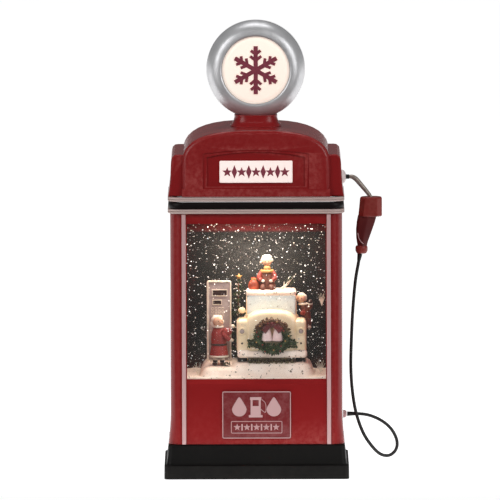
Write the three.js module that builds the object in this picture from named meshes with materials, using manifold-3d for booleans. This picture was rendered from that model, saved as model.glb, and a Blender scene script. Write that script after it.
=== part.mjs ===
// Battery-lit glitter lantern in the shape of a vintage fuel pump.
// Millimetres, +Z up, front towards -Y, origin at the centre of the base's underside.

import * as THREE from 'three';
import { mergeVertices } from 'three/addons/utils/BufferGeometryUtils.js';
import Module from 'manifold-3d';

const wasm = await Module();
wasm.setup();

// ---------------------------------------------------------------- driving dimensions

const GAP = 0.3;          // clearance between touching pieces
const WALL = 2.4;         // moulded wall thickness

const BASE_HALF_WIDTH = 59.9;
const BASE_HALF_DEPTH = 46;
const BASE_STEP_Z = 9.1;  // top of the plinth's lower tier
const BASE_TOP = 22.1;
const PLATE_THICKNESS = 2.4;

const BODY_HALF_WIDTH = 55.7;
const BODY_HALF_DEPTH = 42;
const BODY_FLARE = 1.3;   // the sides spread by this much at the foot
const BODY_CORNER = 7.5;
const BODY_BOTTOM = BASE_TOP + GAP;
const BODY_TOP = 172.2;

const WINDOW_HALF_WIDTH = 45;
const WINDOW_BOTTOM = 64.7;
const WINDOW_TOP = 165.8;
const SILL_BOTTOM = 61.4;

const BELT_HALF_WIDTH = 57.2;
const BELT_HALF_DEPTH = 45.2;
const BELT_BOTTOM = BODY_TOP + GAP;
const TRIM_HEIGHT = 2.9;
const BAND_HEIGHT = 4.3;
const BELT_TOP = BELT_BOTTOM + 2 * TRIM_HEIGHT + BAND_HEIGHT + 2 * GAP;

const HOOD_BOTTOM = BELT_TOP + GAP;
const ARCH_HALF_WIDTH = 47.9;
const ARCH_HALF_DEPTH = 43.6;
const ARCH_SPRING_Z = 203; // where the arch's sides start to curve in
const ARCH_CROWN_Z = 226.4;
const ARCH_ROUNDNESS = 2.8;
const ARCH_EDGE = 3;      // rounded front and rear edge of the arch
const SHOULDER_HALF_WIDTH = 54.3;
const SHOULDER_HALF_DEPTH = 40.6;
const SHOULDER_TOP = 210.6;

const GLOBE_Z = 262.9;
const GLOBE_RADIUS = 32;
const GLOBE_HALF_DEPTH = 12;
const FACE_RADIUS = 22;

const TANK_HALF_WIDTH = 49;
const TANK_REAR = 25;
const TANK_FRONT = -(BODY_HALF_DEPTH - WALL - GAP);
const TANK_BOTTOM = 64.6;
const TANK_TOP = 168.2;
const TANK_WALL = 2.5;

const NOZZLE_HOLE_Z = 192.5;
const SPOUT_RADIUS = 1.25;
const TIP_RADIUS = 1.5;
const HOSE_RADIUS = 1.1;
const SOCKET_Z = 37.4;
const SOCKET_Y = 1.6;

const SCREW = { head: 3, headHeight: 1.1, shank: 1.3, clearance: 0.3 };
const CELL = { radius: 7.15, length: 50.5, pitch: 15, z: 10.5 };
const BATTERY_CENTRE_X = 30;

// ---------------------------------------------------------------- solids and booleans

function toSolid(geometry) {
  const bare = geometry.clone();
  bare.deleteAttribute('normal');
  bare.deleteAttribute('uv');
  const welded = mergeVertices(bare, 1e-4);
  return new wasm.Manifold(new wasm.Mesh({
    numProp: 3,
    vertProperties: new Float32Array(welded.attributes.position.array),
    triVerts: new Uint32Array(welded.index.array),
  }));
}

function toGeometry(solid) {
  const mesh = solid.getMesh();
  const geometry = new THREE.BufferGeometry();
  geometry.setAttribute('position', new THREE.BufferAttribute(mesh.vertProperties, 3));
  geometry.setIndex(new THREE.BufferAttribute(mesh.triVerts, 1));
  geometry.computeVertexNormals();
  return geometry;
}

function join(...geometries) {
  return toGeometry(geometries.map(toSolid).reduce((all, next) => all.add(next)));
}

function cut(geometry, ...tools) {
  return toGeometry(tools.map(toSolid).reduce((rest, tool) => rest.subtract(tool), toSolid(geometry)));
}

function box(xMin, xMax, yMin, yMax, zMin, zMax) {
  const geometry = new THREE.BoxGeometry(xMax - xMin, yMax - yMin, zMax - zMin);
  return geometry.translate((xMin + xMax) / 2, (yMin + yMax) / 2, (zMin + zMax) / 2);
}

function centredBox(halfWidth, halfDepth, zMin, zMax) {
  return box(-halfWidth, halfWidth, -halfDepth, halfDepth, zMin, zMax);
}

function cylinderZ(x, y, radius, zMin, zMax, segments = 20) {
  const geometry = new THREE.CylinderGeometry(radius, radius, zMax - zMin, segments);
  return geometry.rotateX(Math.PI / 2).translate(x, y, (zMin + zMax) / 2);
}

function cylinderX(y, z, radius, xMin, xMax, segments = 20) {
  const geometry = new THREE.CylinderGeometry(radius, radius, xMax - xMin, segments);
  return geometry.rotateZ(Math.PI / 2).translate((xMin + xMax) / 2, y, z);
}

function cylinderY(x, z, radius, yMin, yMax, segments = 20) {
  const geometry = new THREE.CylinderGeometry(radius, radius, yMax - yMin, segments);
  return geometry.translate(x, (yMin + yMax) / 2, z);
}

function ball(x, y, z, radiusX, radiusY = radiusX, radiusZ = radiusX, segments = 14) {
  const geometry = new THREE.SphereGeometry(1, segments, segments / 2);
  return geometry.rotateX(Math.PI / 2).scale(radiusX, radiusY, radiusZ).translate(x, y, z);
}

// Corner points of a rounded rectangle, anticlockwise.
function roundedOutline(halfWidth, halfDepth, radius, arcSteps = 5) {
  const points = [];
  for (let corner = 0; corner < 4; corner += 1) {
    const signX = corner === 0 || corner === 3 ? 1 : -1;
    const signY = corner < 2 ? 1 : -1;
    for (let step = 0; step <= arcSteps; step += 1) {
      const angle = (corner + step / arcSteps) * Math.PI / 2;
      points.push(new THREE.Vector2(
        signX * (halfWidth - radius) + radius * Math.cos(angle),
        signY * (halfDepth - radius) + radius * Math.sin(angle),
      ));
    }
  }
  return points;
}

// Closed solid through level sections: each section is [z, outline].
function loft(sections) {
  const count = sections[0][1].length;
  const positions = [];
  sections.forEach(([z, outline]) => outline.forEach((p) => positions.push(p.x, p.y, z)));
  const top = (sections.length - 1) * count;
  const index = [];
  for (let level = 0; level + 1 < sections.length; level += 1) {
    for (let i = 0; i < count; i += 1) {
      const a = level * count + i;
      const b = level * count + (i + 1) % count;
      index.push(a, b, b + count, a, b + count, a + count);
    }
  }
  for (let i = 1; i + 1 < count; i += 1) {
    index.push(0, i + 1, i);
    index.push(top, top + i, top + i + 1);
  }
  const geometry = new THREE.BufferGeometry();
  geometry.setAttribute('position', new THREE.Float32BufferAttribute(positions, 3));
  geometry.setIndex(index);
  return geometry;
}

// Solid with rounded-rectangle sections: each level is [z, halfWidth, halfDepth].
function roundedLoft(levels, radius, arcSteps = 5) {
  return loft(levels.map(([z, halfWidth, halfDepth]) => [
    z, roundedOutline(halfWidth, halfDepth, radius, arcSteps),
  ]));
}

// Extrudes an outline drawn in (x, z) along Y, with optional rounded ends.
function extrudeY(outline, yMin, yMax, edge = 0, edgeSteps = 2) {
  const geometry = new THREE.ExtrudeGeometry(new THREE.Shape(outline), {
    depth: yMax - yMin - 2 * edge,
    bevelEnabled: edge > 0,
    bevelThickness: edge,
    bevelSize: edge,
    bevelOffset: -edge,
    bevelSegments: edgeSteps,
    curveSegments: 6,
  });
  return geometry.rotateX(Math.PI / 2).translate(0, yMax - edge, 0);
}

// Turns a closed outline of [radius, height] points about the Z axis.
function turned(outline, segments = 24) {
  const points = [...outline, outline[0]].map(([radius, height]) => new THREE.Vector2(radius, height));
  return new THREE.LatheGeometry(points, segments).rotateX(Math.PI / 2);
}

function tube(points, radius, sides, steps) {
  const section = new THREE.Shape();
  for (let i = 0; i < sides; i += 1) {
    const angle = i / sides * 2 * Math.PI;
    const x = radius * Math.cos(angle);
    const y = radius * Math.sin(angle);
    if (i === 0) section.moveTo(x, y);
    else section.lineTo(x, y);
  }
  section.closePath();
  return new THREE.ExtrudeGeometry(section, {
    steps,
    bevelEnabled: false,
    curveSegments: 1,
    extrudePath: new THREE.CatmullRomCurve3(points.map((p) => new THREE.Vector3(...p))),
  });
}

// ---------------------------------------------------------------- named meshes

const lantern = new THREE.Group();

function finish(color, roughness, metalness = 0) {
  return new THREE.MeshStandardMaterial({ color, roughness, metalness });
}

const FINISH = {
  red: finish(0x84262a, 0.3),
  black: finish(0x22211f, 0.5),
  silver: finish(0xb8a9a8, 0.3, 0.9),
  chrome: finish(0xc8c8c8, 0.2, 1),
  cream: finish(0xffeee0, 0.4),
  clear: finish(0xdfe6e8, 0.05),
  dark: finish(0x463f3a, 0.8),
  snow: finish(0xefd8c6, 0.7),
  resin: finish(0xe9e1ce, 0.5),
  figure: finish(0x7a3c2f, 0.6),
  green: finish(0x24402a, 0.7),
  steel: finish(0x9a9a98, 0.35, 0.9),
  board: finish(0x1f5a34, 0.6),
  nickel: finish(0xb5b2a8, 0.35, 1),
  rubber: finish(0x151515, 0.8),
  cell: finish(0x3a4a5a, 0.4, 0.3),
  white: finish(0xe8e6e0, 0.5),
};

function add(name, geometry, material) {
  const mesh = new THREE.Mesh(geometry, material);
  mesh.name = name;
  lantern.add(mesh);
}

// ---------------------------------------------------------------- base

const BASE_SCREW_X = 51;
const BASE_SCREW_Y = 37;
const PLINTH_INNER_HALF_WIDTH = BASE_HALF_WIDTH - 3.9;
const PLINTH_INNER_HALF_DEPTH = BASE_HALF_DEPTH - 4;
const DOOR_OPENING = { xMin: 7.5, xMax: 52.5, halfDepth: 27 };
const COUNTERBORE_DEPTH = 1.5;
const CORNERS = [[-1, -1], [1, -1], [1, 1], [-1, 1]];

function basePlinth() {
  const outside = roundedLoft([
    [0, BASE_HALF_WIDTH, BASE_HALF_DEPTH],
    [BASE_STEP_Z - 0.4, BASE_HALF_WIDTH - 0.1, BASE_HALF_DEPTH - 0.1],
    [BASE_STEP_Z, BASE_HALF_WIDTH - 0.5, BASE_HALF_DEPTH - 0.5],
    [BASE_STEP_Z + 0.3, BASE_HALF_WIDTH - 1.5, BASE_HALF_DEPTH - 1.5],
    [BASE_STEP_Z + 4, BASE_HALF_WIDTH - 2.1, BASE_HALF_DEPTH - 2.1],
    [BASE_STEP_Z + 9, BASE_HALF_WIDTH - 2.5, BASE_HALF_DEPTH - 2.5],
    [BASE_TOP - 0.5, BASE_HALF_WIDTH - 2.7, BASE_HALF_DEPTH - 2.7],
    [BASE_TOP, BASE_HALF_WIDTH - 3.1, BASE_HALF_DEPTH - 3.1],
  ], 3, 3);
  const inside = centredBox(PLINTH_INNER_HALF_WIDTH, PLINTH_INNER_HALF_DEPTH, -1, BASE_TOP - WALL);
  const passage = centredBox(50, 36, BASE_TOP - WALL - 1, BASE_TOP + 1);
  const shell = cut(outside, inside, passage);
  const posts = CORNERS.map(([sx, sy]) => cylinderZ(
    sx * BASE_SCREW_X, sy * BASE_SCREW_Y, 3.6, PLATE_THICKNESS + GAP, BASE_TOP - 1, 16,
  ));
  const pilots = CORNERS.map(([sx, sy]) => cylinderZ(
    sx * BASE_SCREW_X, sy * BASE_SCREW_Y, SCREW.shank + SCREW.clearance, 0, 14, 12,
  ));
  return cut(join(shell, ...posts), ...pilots);
}

function basePlate() {
  const plate = centredBox(
    PLINTH_INNER_HALF_WIDTH - GAP, PLINTH_INNER_HALF_DEPTH - GAP, 0, PLATE_THICKNESS,
  );
  const opening = box(
    DOOR_OPENING.xMin, DOOR_OPENING.xMax, -DOOR_OPENING.halfDepth, DOOR_OPENING.halfDepth, -1, 5,
  );
  const holes = CORNERS.flatMap(([sx, sy]) => [
    cylinderZ(
      sx * BASE_SCREW_X, sy * BASE_SCREW_Y, SCREW.head + SCREW.clearance, -1, COUNTERBORE_DEPTH, 16,
    ),
    cylinderZ(sx * BASE_SCREW_X, sy * BASE_SCREW_Y, SCREW.shank + SCREW.clearance, -1, 5, 12),
  ]);
  return cut(plate, opening, ...holes);
}

// Screw with its head down, pointing up: head face at z = 0.
function screw(length) {
  const { head, headHeight, shank } = SCREW;
  const blank = turned([
    [0, 0], [head - 0.4, 0], [head, 0.4], [head, headHeight], [shank, headHeight],
    [shank, length - 1], [0.3, length], [0, length],
  ], 12);
  const slots = [box(-1.8, 1.8, -0.3, 0.3, -1, 0.6), box(-0.3, 0.3, -1.8, 1.8, -1, 0.6)];
  return cut(blank, ...slots);
}

function batteryDoor() {
  const halfDepth = DOOR_OPENING.halfDepth - GAP;
  const plate = box(DOOR_OPENING.xMin + GAP, DOOR_OPENING.xMax - GAP, -halfDepth, halfDepth, 0.2, 2.2);
  const grips = [0, 1, 2].map((i) => box(
    BATTERY_CENTRE_X - 6, BATTERY_CENTRE_X + 6, -halfDepth + 4 + 3 * i, -halfDepth + 5.4 + 3 * i, 0, 0.7,
  ));
  return cut(plate, ...grips);
}

add('base_plinth', basePlinth(), FINISH.black);
add('base_plate', basePlate(), FINISH.black);
CORNERS.forEach(([sx, sy], i) => {
  const geometry = screw(12).translate(sx * BASE_SCREW_X, sy * BASE_SCREW_Y, GAP);
  add(`base_screw_${i + 1}`, geometry, FINISH.steel);
});
add('battery_door', batteryDoor(), FINISH.black);

// ---------------------------------------------------------------- batteries

const BATTERY_BOX = { halfWidth: 24, halfDepth: 29, wall: 1.5, top: 19.3 };

function batteryBox() {
  const { halfWidth, halfDepth, wall, top } = BATTERY_BOX;
  const bottom = PLATE_THICKNESS + GAP;
  const outside = centredBox(halfWidth, halfDepth, bottom, top);
  const inside = centredBox(halfWidth - wall, halfDepth - wall, bottom - 1, top - 1.3);
  return cut(outside, inside).translate(BATTERY_CENTRE_X, 0, 0);
}

// Cell lying along Y with a raised terminal at one end.
function batteryCell() {
  const half = CELL.length / 2;
  const outline = [
    [0, -half], [CELL.radius - 0.5, -half], [CELL.radius, -half + 0.5], [CELL.radius, half - 1.8],
    [CELL.radius - 0.6, half - 1.2], [2.7, half - 1.2], [2.7, half], [0, half],
  ];
  return turned(outline, 24).rotateX(Math.PI / 2);
}

// Metal strip across the ends of the cells, with a coiled point of contact for each.
function contactStrip(side) {
  const plateY = side * (BATTERY_BOX.halfDepth - BATTERY_BOX.wall - GAP);
  const yLimits = [plateY, plateY - side * 0.4].sort((a, b) => a - b);
  const strip = box(9, 51, ...yLimits, 5, 16);
  const points = [-1, 0, 1].map((i) => {
    const end = plateY - side * 1.6;
    const coneLimits = [plateY - side * 0.2, end].sort((a, b) => a - b);
    return cylinderY(BATTERY_CENTRE_X + i * CELL.pitch, CELL.z, 2.4, ...coneLimits, 12);
  });
  return join(strip, ...points);
}

add('battery_box', batteryBox(), FINISH.black);
[-1, 0, 1].forEach((i) => {
  const geometry = batteryCell();
  if (i === 0) geometry.rotateZ(Math.PI);
  geometry.translate(BATTERY_CENTRE_X + i * CELL.pitch, 0, CELL.z);
  add(`battery_cell_${i + 2}`, geometry, FINISH.cell);
});
add('contact_strip_front', contactStrip(-1), FINISH.nickel);
add('contact_strip_rear', contactStrip(1), FINISH.nickel);

// ---------------------------------------------------------------- cabinet

const REAR_SCREW_X = 46;
const REAR_SCREW_Z = [30.5, 163.5];
const REAR_COVER = { halfWidth: 48.4, zMin: 26.5, zMax: 167.5, thickness: 2 };
const SHELF_TOP = 59.2;
const REAR_SCREWS = REAR_SCREW_Z.flatMap((z) => [[-REAR_SCREW_X, z], [REAR_SCREW_X, z]]);
const SWITCH = { x: -24, z: 44, travel: 2.5 };

function bodyShell() {
  const foot = BODY_HALF_WIDTH + BODY_FLARE;
  const outside = roundedLoft([
    [BODY_BOTTOM, foot, BODY_HALF_DEPTH],
    [BODY_BOTTOM + 5, foot - 0.5, BODY_HALF_DEPTH],
    [BODY_BOTTOM + 11, foot - 1, BODY_HALF_DEPTH],
    [BODY_BOTTOM + 19, BODY_HALF_WIDTH, BODY_HALF_DEPTH],
    [BODY_TOP, BODY_HALF_WIDTH, BODY_HALF_DEPTH],
  ], BODY_CORNER, 6);
  const cavity = (inset, zMin, zMax) => roundedLoft([
    [zMin, BODY_HALF_WIDTH - inset, BODY_HALF_DEPTH - inset],
    [zMax, BODY_HALF_WIDTH - inset, BODY_HALF_DEPTH - inset],
  ], BODY_CORNER - WALL, 6);
  const shelfBottom = SHELF_TOP - 2.4;
  const window = box(
    -WINDOW_HALF_WIDTH, WINDOW_HALF_WIDTH, -BODY_HALF_DEPTH - 1, -BODY_HALF_DEPTH + 5,
    WINDOW_BOTTOM, WINDOW_TOP,
  );
  const sillProfile = [
    [-BODY_HALF_DEPTH - 0.5, SILL_BOTTOM - 0.6], [-BODY_HALF_DEPTH + WALL, WINDOW_BOTTOM],
    [-BODY_HALF_DEPTH + WALL, WINDOW_BOTTOM + 1], [-BODY_HALF_DEPTH - 0.5, WINDOW_BOTTOM + 1],
  ].map(([y, z]) => new THREE.Vector2(y, z));
  const sill = new THREE.ExtrudeGeometry(new THREE.Shape(sillProfile), {
    depth: 2 * WINDOW_HALF_WIDTH, bevelEnabled: false,
  });
  sill.applyMatrix4(new THREE.Matrix4().makeBasis(
    new THREE.Vector3(0, 1, 0), new THREE.Vector3(0, 0, 1), new THREE.Vector3(1, 0, 0),
  )).translate(-WINDOW_HALF_WIDTH, 0, 0);
  const service = box(-43, 43, BODY_HALF_DEPTH - 5, BODY_HALF_DEPTH + 1, 35, 159);
  const shell = cut(
    outside, cavity(WALL, BODY_BOTTOM - 1, shelfBottom), cavity(WALL, SHELF_TOP, BODY_TOP + 1),
    cavity(10, shelfBottom - 1, SHELF_TOP + 1), window, sill, service,
  );
  const bosses = REAR_SCREWS.map(([x, z]) => cylinderY(
    x, z, 3.3, BODY_HALF_DEPTH - 10, BODY_HALF_DEPTH - 1, 14,
  ));
  const pilots = REAR_SCREWS.map(([x, z]) => cylinderY(
    x, z, SCREW.shank + SCREW.clearance, BODY_HALF_DEPTH - 9, BODY_HALF_DEPTH + 1, 12,
  ));
  return cut(join(shell, ...bosses), ...pilots);
}

function rearCover() {
  const { halfWidth, zMin, zMax, thickness } = REAR_COVER;
  const middle = (zMin + zMax) / 2;
  const outline = roundedOutline(halfWidth, (zMax - zMin) / 2, 4, 4);
  outline.forEach((p) => p.set(p.x, p.y + middle));
  const front = BODY_HALF_DEPTH + GAP;
  const plate = extrudeY(outline, front, front + thickness);
  const holes = REAR_SCREWS.flatMap(([x, z]) => [
    cylinderY(x, z, SCREW.shank + SCREW.clearance, front - 1, front + 5, 12),
    cylinderY(x, z, SCREW.head + SCREW.clearance, front + 0.7, front + 5, 16),
  ]);
  const reach = SWITCH.travel + 2;
  const slot = box(
    SWITCH.x - reach, SWITCH.x + reach, front - 1, front + 5, SWITCH.z - 2.2, SWITCH.z + 2.2,
  );
  return cut(plate, ...holes, slot);
}

function cornerStrip(side) {
  const outline = roundedOutline(1.3, 0.65, 0.5, 3);
  const strip = loft([[BODY_BOTTOM + 0.1, outline], [BODY_TOP - 0.1, outline]]);
  return strip.translate(side * 46.9, -(BODY_HALF_DEPTH + GAP + 0.65), 0);
}

function frontPlaque() {
  const outline = roundedOutline(22.2, 15.3, 0.6, 2);
  outline.forEach((p) => p.set(p.x, p.y + 41.6));
  return extrudeY(outline, -(BODY_HALF_DEPTH + GAP + 0.9), -(BODY_HALF_DEPTH + GAP));
}

add('body_shell', bodyShell(), FINISH.red);
add('rear_cover', rearCover(), FINISH.red);
REAR_SCREWS.forEach(([x, z], i) => {
  const geometry = screw(9).rotateX(Math.PI / 2).translate(x, BODY_HALF_DEPTH + GAP + 2.1, z);
  add(`rear_screw_${i + 1}`, geometry, FINISH.steel);
});
add('corner_strip_left', cornerStrip(-1), FINISH.silver);
add('corner_strip_right', cornerStrip(1), FINISH.silver);
add('front_plaque', frontPlaque(), FINISH.red);

// ---------------------------------------------------------------- belt

function beltRing(levels) {
  const zMin = levels[0][0];
  const zMax = levels[levels.length - 1][0];
  const overhang = BELT_HALF_WIDTH - BELT_HALF_DEPTH;
  const ring = roundedLoft(levels.map(([z, halfWidth]) => [z, halfWidth, halfWidth - overhang]), 6, 5);
  return cut(ring, centredBox(50, 37, zMin - 1, zMax + 1));
}

// Two raised beads with a groove between them.
function beltTrim(zMin) {
  const bead = BELT_HALF_WIDTH;
  const edge = BELT_HALF_WIDTH - 0.5;
  const fractions = [0, 0.12, 0.4, 0.5, 0.6, 0.88, 1];
  const halfWidths = [edge, bead, bead, edge - 0.2, bead, bead, edge];
  return beltRing(fractions.map((f, i) => [zMin + f * TRIM_HEIGHT, halfWidths[i]]));
}

const BAND_BOTTOM = BELT_BOTTOM + TRIM_HEIGHT + GAP;

add('belt_trim_lower', beltTrim(BELT_BOTTOM), FINISH.silver);
add('belt_band', beltRing([
  [BAND_BOTTOM, BELT_HALF_WIDTH - 0.3], [BAND_BOTTOM + BAND_HEIGHT, BELT_HALF_WIDTH - 0.3],
]), FINISH.black);
add('belt_trim_upper', beltTrim(BELT_TOP - TRIM_HEIGHT), FINISH.silver);

// ---------------------------------------------------------------- hood

// Arch outline in (x, z), standing on zMin and grown outwards by `grow`.
function archOutline(zMin, grow = 0) {
  const halfWidth = ARCH_HALF_WIDTH + grow;
  const rise = ARCH_CROWN_Z - ARCH_SPRING_Z + grow;
  const steps = 20;
  const points = [new THREE.Vector2(halfWidth, zMin)];
  for (let i = 0; i <= steps; i += 1) {
    const angle = i / steps * Math.PI;
    const cos = Math.cos(angle);
    points.push(new THREE.Vector2(
      halfWidth * Math.sign(cos) * Math.abs(cos) ** (2 / ARCH_ROUNDNESS),
      ARCH_SPRING_Z + rise * Math.sin(angle) ** (2 / ARCH_ROUNDNESS),
    ));
  }
  points.push(new THREE.Vector2(-halfWidth, zMin));
  return points;
}

// Half of the shoulders' outline, mirrored: flared foot, upright side, rounded top corner.
function shoulderOutline() {
  const half = [
    [BELT_HALF_WIDTH - 0.4, HOOD_BOTTOM], [SHOULDER_HALF_WIDTH + 1.9, HOOD_BOTTOM + 4],
    [SHOULDER_HALF_WIDTH + 1.2, HOOD_BOTTOM + 10], [SHOULDER_HALF_WIDTH + 0.7, SHOULDER_TOP - 5],
    [SHOULDER_HALF_WIDTH, SHOULDER_TOP - 1.8], [SHOULDER_HALF_WIDTH - 1.6, SHOULDER_TOP - 0.3],
    [SHOULDER_HALF_WIDTH - 3.4, SHOULDER_TOP],
  ];
  const mirrored = half.map(([x, z]) => [-x, z]).reverse();
  return [...half, ...mirrored].map(([x, z]) => new THREE.Vector2(x, z));
}

// Recess of the front sign: straight sides and a slightly arched top.
function recessOutline(halfWidth, zMin, cornerZ, middleZ) {
  const points = [new THREE.Vector2(-halfWidth, zMin), new THREE.Vector2(halfWidth, zMin)];
  for (let i = 0; i <= 8; i += 1) {
    const across = 1 - i / 4;
    points.push(new THREE.Vector2(halfWidth * across, cornerZ + (middleZ - cornerZ) * (1 - across ** 2)));
  }
  return points;
}

const RECESS_DEPTH = 1.8;
const SIGN = { halfWidth: 23.6, zMin: 192.5, zMax: 206.8, thickness: 1.6 };

function hood() {
  const arch = extrudeY(archOutline(HOOD_BOTTOM), -ARCH_HALF_DEPTH, ARCH_HALF_DEPTH, ARCH_EDGE, 3);
  const shoulders = extrudeY(shoulderOutline(), -SHOULDER_HALF_DEPTH, SHOULDER_HALF_DEPTH, 0.8, 1);
  const foot = centredBox(ARCH_HALF_WIDTH, ARCH_HALF_DEPTH, HOOD_BOTTOM, HOOD_BOTTOM + ARCH_EDGE + 2);
  const bottomCut = centredBox(80, 80, HOOD_BOTTOM - 20, HOOD_BOTTOM);
  const archInside = extrudeY(
    archOutline(HOOD_BOTTOM - 1, -WALL), -(ARCH_HALF_DEPTH - 4.6), ARCH_HALF_DEPTH - 3,
  );
  const widthInside = SHOULDER_HALF_WIDTH - WALL;
  const shoulderInside = centredBox(
    widthInside, SHOULDER_HALF_DEPTH - WALL, HOOD_BOTTOM - 1, SHOULDER_TOP - WALL,
  );
  const frontY = -ARCH_HALF_DEPTH;
  const recess = extrudeY(recessOutline(31.8, 190.1, 209.1, 212.6), frontY - 1, frontY + RECESS_DEPTH);
  const rim = extrudeY(recessOutline(34.3, 188.6, 211.4, 213.9), frontY - 1, frontY + 0.7);
  const wireHole = cylinderZ(0, 0, 4, ARCH_CROWN_Z - 8, ARCH_CROWN_Z + 5, 16);
  const nozzleHole = cylinderX(0, NOZZLE_HOLE_Z, TIP_RADIUS + GAP, 45, 60, 12);
  return cut(
    join(arch, foot, shoulders), bottomCut, archInside, shoulderInside, rim, recess, wireHole, nozzleHole,
  );
}

function signPlate() {
  const middle = (SIGN.zMin + SIGN.zMax) / 2;
  const outline = roundedOutline(SIGN.halfWidth, (SIGN.zMax - SIGN.zMin) / 2, 1.2, 3);
  outline.forEach((p) => p.set(p.x, p.y + middle));
  const back = -ARCH_HALF_DEPTH + RECESS_DEPTH - GAP;
  return extrudeY(outline, back - SIGN.thickness, back, 0.3, 1);
}

add('hood', hood(), FINISH.red);
add('sign_plate', signPlate(), FINISH.cream);

// ---------------------------------------------------------------- globe

// Half-ellipse through the drum's rim, as [radius, depth] points.
function rimCurve(reach, halfDepth, steps) {
  const points = [];
  for (let i = 0; i <= steps; i += 1) {
    const angle = (i / steps - 0.5) * Math.PI;
    points.push([FACE_RADIUS + GAP + reach * Math.cos(angle), halfDepth * Math.sin(angle)]);
  }
  return points;
}

function aboutGlobe(geometry) {
  return geometry.rotateX(Math.PI / 2).translate(0, 0, GLOBE_Z);
}

function globeRing() {
  const reach = GLOBE_RADIUS - FACE_RADIUS - GAP;
  const outer = rimCurve(reach, GLOBE_HALF_DEPTH, 8);
  const inner = rimCurve(reach - WALL, GLOBE_HALF_DEPTH - WALL, 4).reverse();
  const drum = aboutGlobe(turned([...outer, ...inner], 40));
  return cut(drum, cylinderZ(0, 0, 3.5, GLOBE_Z - GLOBE_RADIUS - 2, GLOBE_Z - 20, 14));
}

function globeFace(side) {
  const y = side * (GLOBE_HALF_DEPTH - 1.4);
  return cylinderY(0, GLOBE_Z, FACE_RADIUS, y - 1, y + 1, 40);
}

// Clearance shape of the whole drum, used to hollow its seat.
function drumEnvelope() {
  const reach = GLOBE_RADIUS - FACE_RADIUS;
  return aboutGlobe(turned([[0, -GLOBE_HALF_DEPTH - GAP], ...rimCurve(reach, GLOBE_HALF_DEPTH + GAP, 10),
    [0, GLOBE_HALF_DEPTH + GAP]], 40));
}

function neckCollar() {
  const neckTop = 235.5;
  const flare = [
    [ARCH_CROWN_Z - 4, 17.4, 15.6], [ARCH_CROWN_Z, 16.8, 15], [ARCH_CROWN_Z + 1.8, 15.6, 13.9],
    [ARCH_CROWN_Z + 4.4, 14.6, 12.9], [neckTop, 14.2, 12.5],
  ];
  const blank = roundedLoft(flare, 4.5, 6);
  const roof = extrudeY(archOutline(HOOD_BOTTOM, GAP), -ARCH_HALF_DEPTH, ARCH_HALF_DEPTH);
  return cut(blank, roof, drumEnvelope(), cylinderZ(0, 0, 4, 200, 260, 16));
}

function globeLed() {
  const post = cylinderZ(0, 0, 2, ARCH_CROWN_Z + 1, GLOBE_Z - 4, 12);
  const dome = ball(0, 0, GLOBE_Z - 3, 2.5, 2.5, 4, 12);
  return join(post, dome);
}

add('neck_collar', neckCollar(), FINISH.red);
add('globe_ring', globeRing(), FINISH.chrome);
add('globe_face_front', globeFace(-1), FINISH.cream);
add('globe_face_rear', globeFace(1), FINISH.cream);
add('globe_led', globeLed(), FINISH.white);

// ---------------------------------------------------------------- water tank

const TANK_FLOOR = { zMin: SHELF_TOP + GAP, zMax: 63 };
const CUP = { radius: 14, wall: 2, bottom: 46 };

function tankOutline(inset, radius) {
  const outline = roundedOutline(
    TANK_HALF_WIDTH - inset, (TANK_REAR - TANK_FRONT) / 2 - inset, radius, 3,
  );
  outline.forEach((p) => p.set(p.x, p.y + (TANK_REAR + TANK_FRONT) / 2));
  return outline;
}

function waterTank() {
  const outside = loft([[TANK_BOTTOM, tankOutline(0, 4)], [TANK_TOP, tankOutline(0, 4)]]);
  const inside = loft([
    [TANK_BOTTOM - 1, tankOutline(TANK_WALL, 1.5)], [TANK_TOP - TANK_WALL, tankOutline(TANK_WALL, 1.5)],
  ]);
  return cut(outside, inside);
}

function tankGasket() {
  const zMin = TANK_FLOOR.zMax + 0.2;
  const zMax = TANK_BOTTOM - 0.2;
  const outside = loft([[zMin, tankOutline(0, 4)], [zMax, tankOutline(0, 4)]]);
  const inner = tankOutline(TANK_WALL, 1.5);
  return cut(outside, loft([[zMin - 1, inner], [zMax + 1, inner]]));
}

// Floor of the tank with a cup that holds the impeller, and a threaded filling hole.
function tankFloor() {
  const plate = box(-TANK_HALF_WIDTH, TANK_HALF_WIDTH, TANK_FRONT, 33, TANK_FLOOR.zMin, TANK_FLOOR.zMax);
  const cup = cylinderZ(0, 0, CUP.radius, CUP.bottom, TANK_FLOOR.zMax - 1, 32);
  const well = cylinderZ(0, 0, CUP.radius - CUP.wall, CUP.bottom + CUP.wall, TANK_FLOOR.zMax + 1, 32);
  const seat = cylinderZ(0, 0, CUP.radius, TANK_FLOOR.zMax - 1.4, TANK_FLOOR.zMax + 1, 32);
  const fill = cylinderZ(FILL_X, 0, FILL_RADIUS, 50, 70, 20);
  return cut(join(plate, cup), well, seat, fill);
}

const FILL_X = -36;
const FILL_RADIUS = 5;

function fillPlug() {
  const outline = [
    [0, 56.2], [7, 56.2], [7, 59.2], [FILL_RADIUS - GAP, 59.2], [FILL_RADIUS - GAP, 62.6], [0, 62.6],
  ];
  const slot = box(FILL_X - 5, FILL_X + 5, -0.6, 0.6, 55, 57.4);
  return cut(turned(outline, 20).translate(FILL_X, 0, 0), slot);
}

function impeller() {
  const zMin = CUP.bottom + CUP.wall + 1;
  const hub = cylinderZ(0, 0, 4, zMin, zMin + 9, 16);
  const disc = cylinderZ(0, 0, 10.5, zMin, zMin + 2.5, 28);
  const blades = [0, 1, 2, 3].map(
    (i) => box(0, 10, -0.6, 0.6, zMin + 1, zMin + 8).rotateZ(i * Math.PI / 2),
  );
  return join(disc, hub, ...blades);
}

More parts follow.
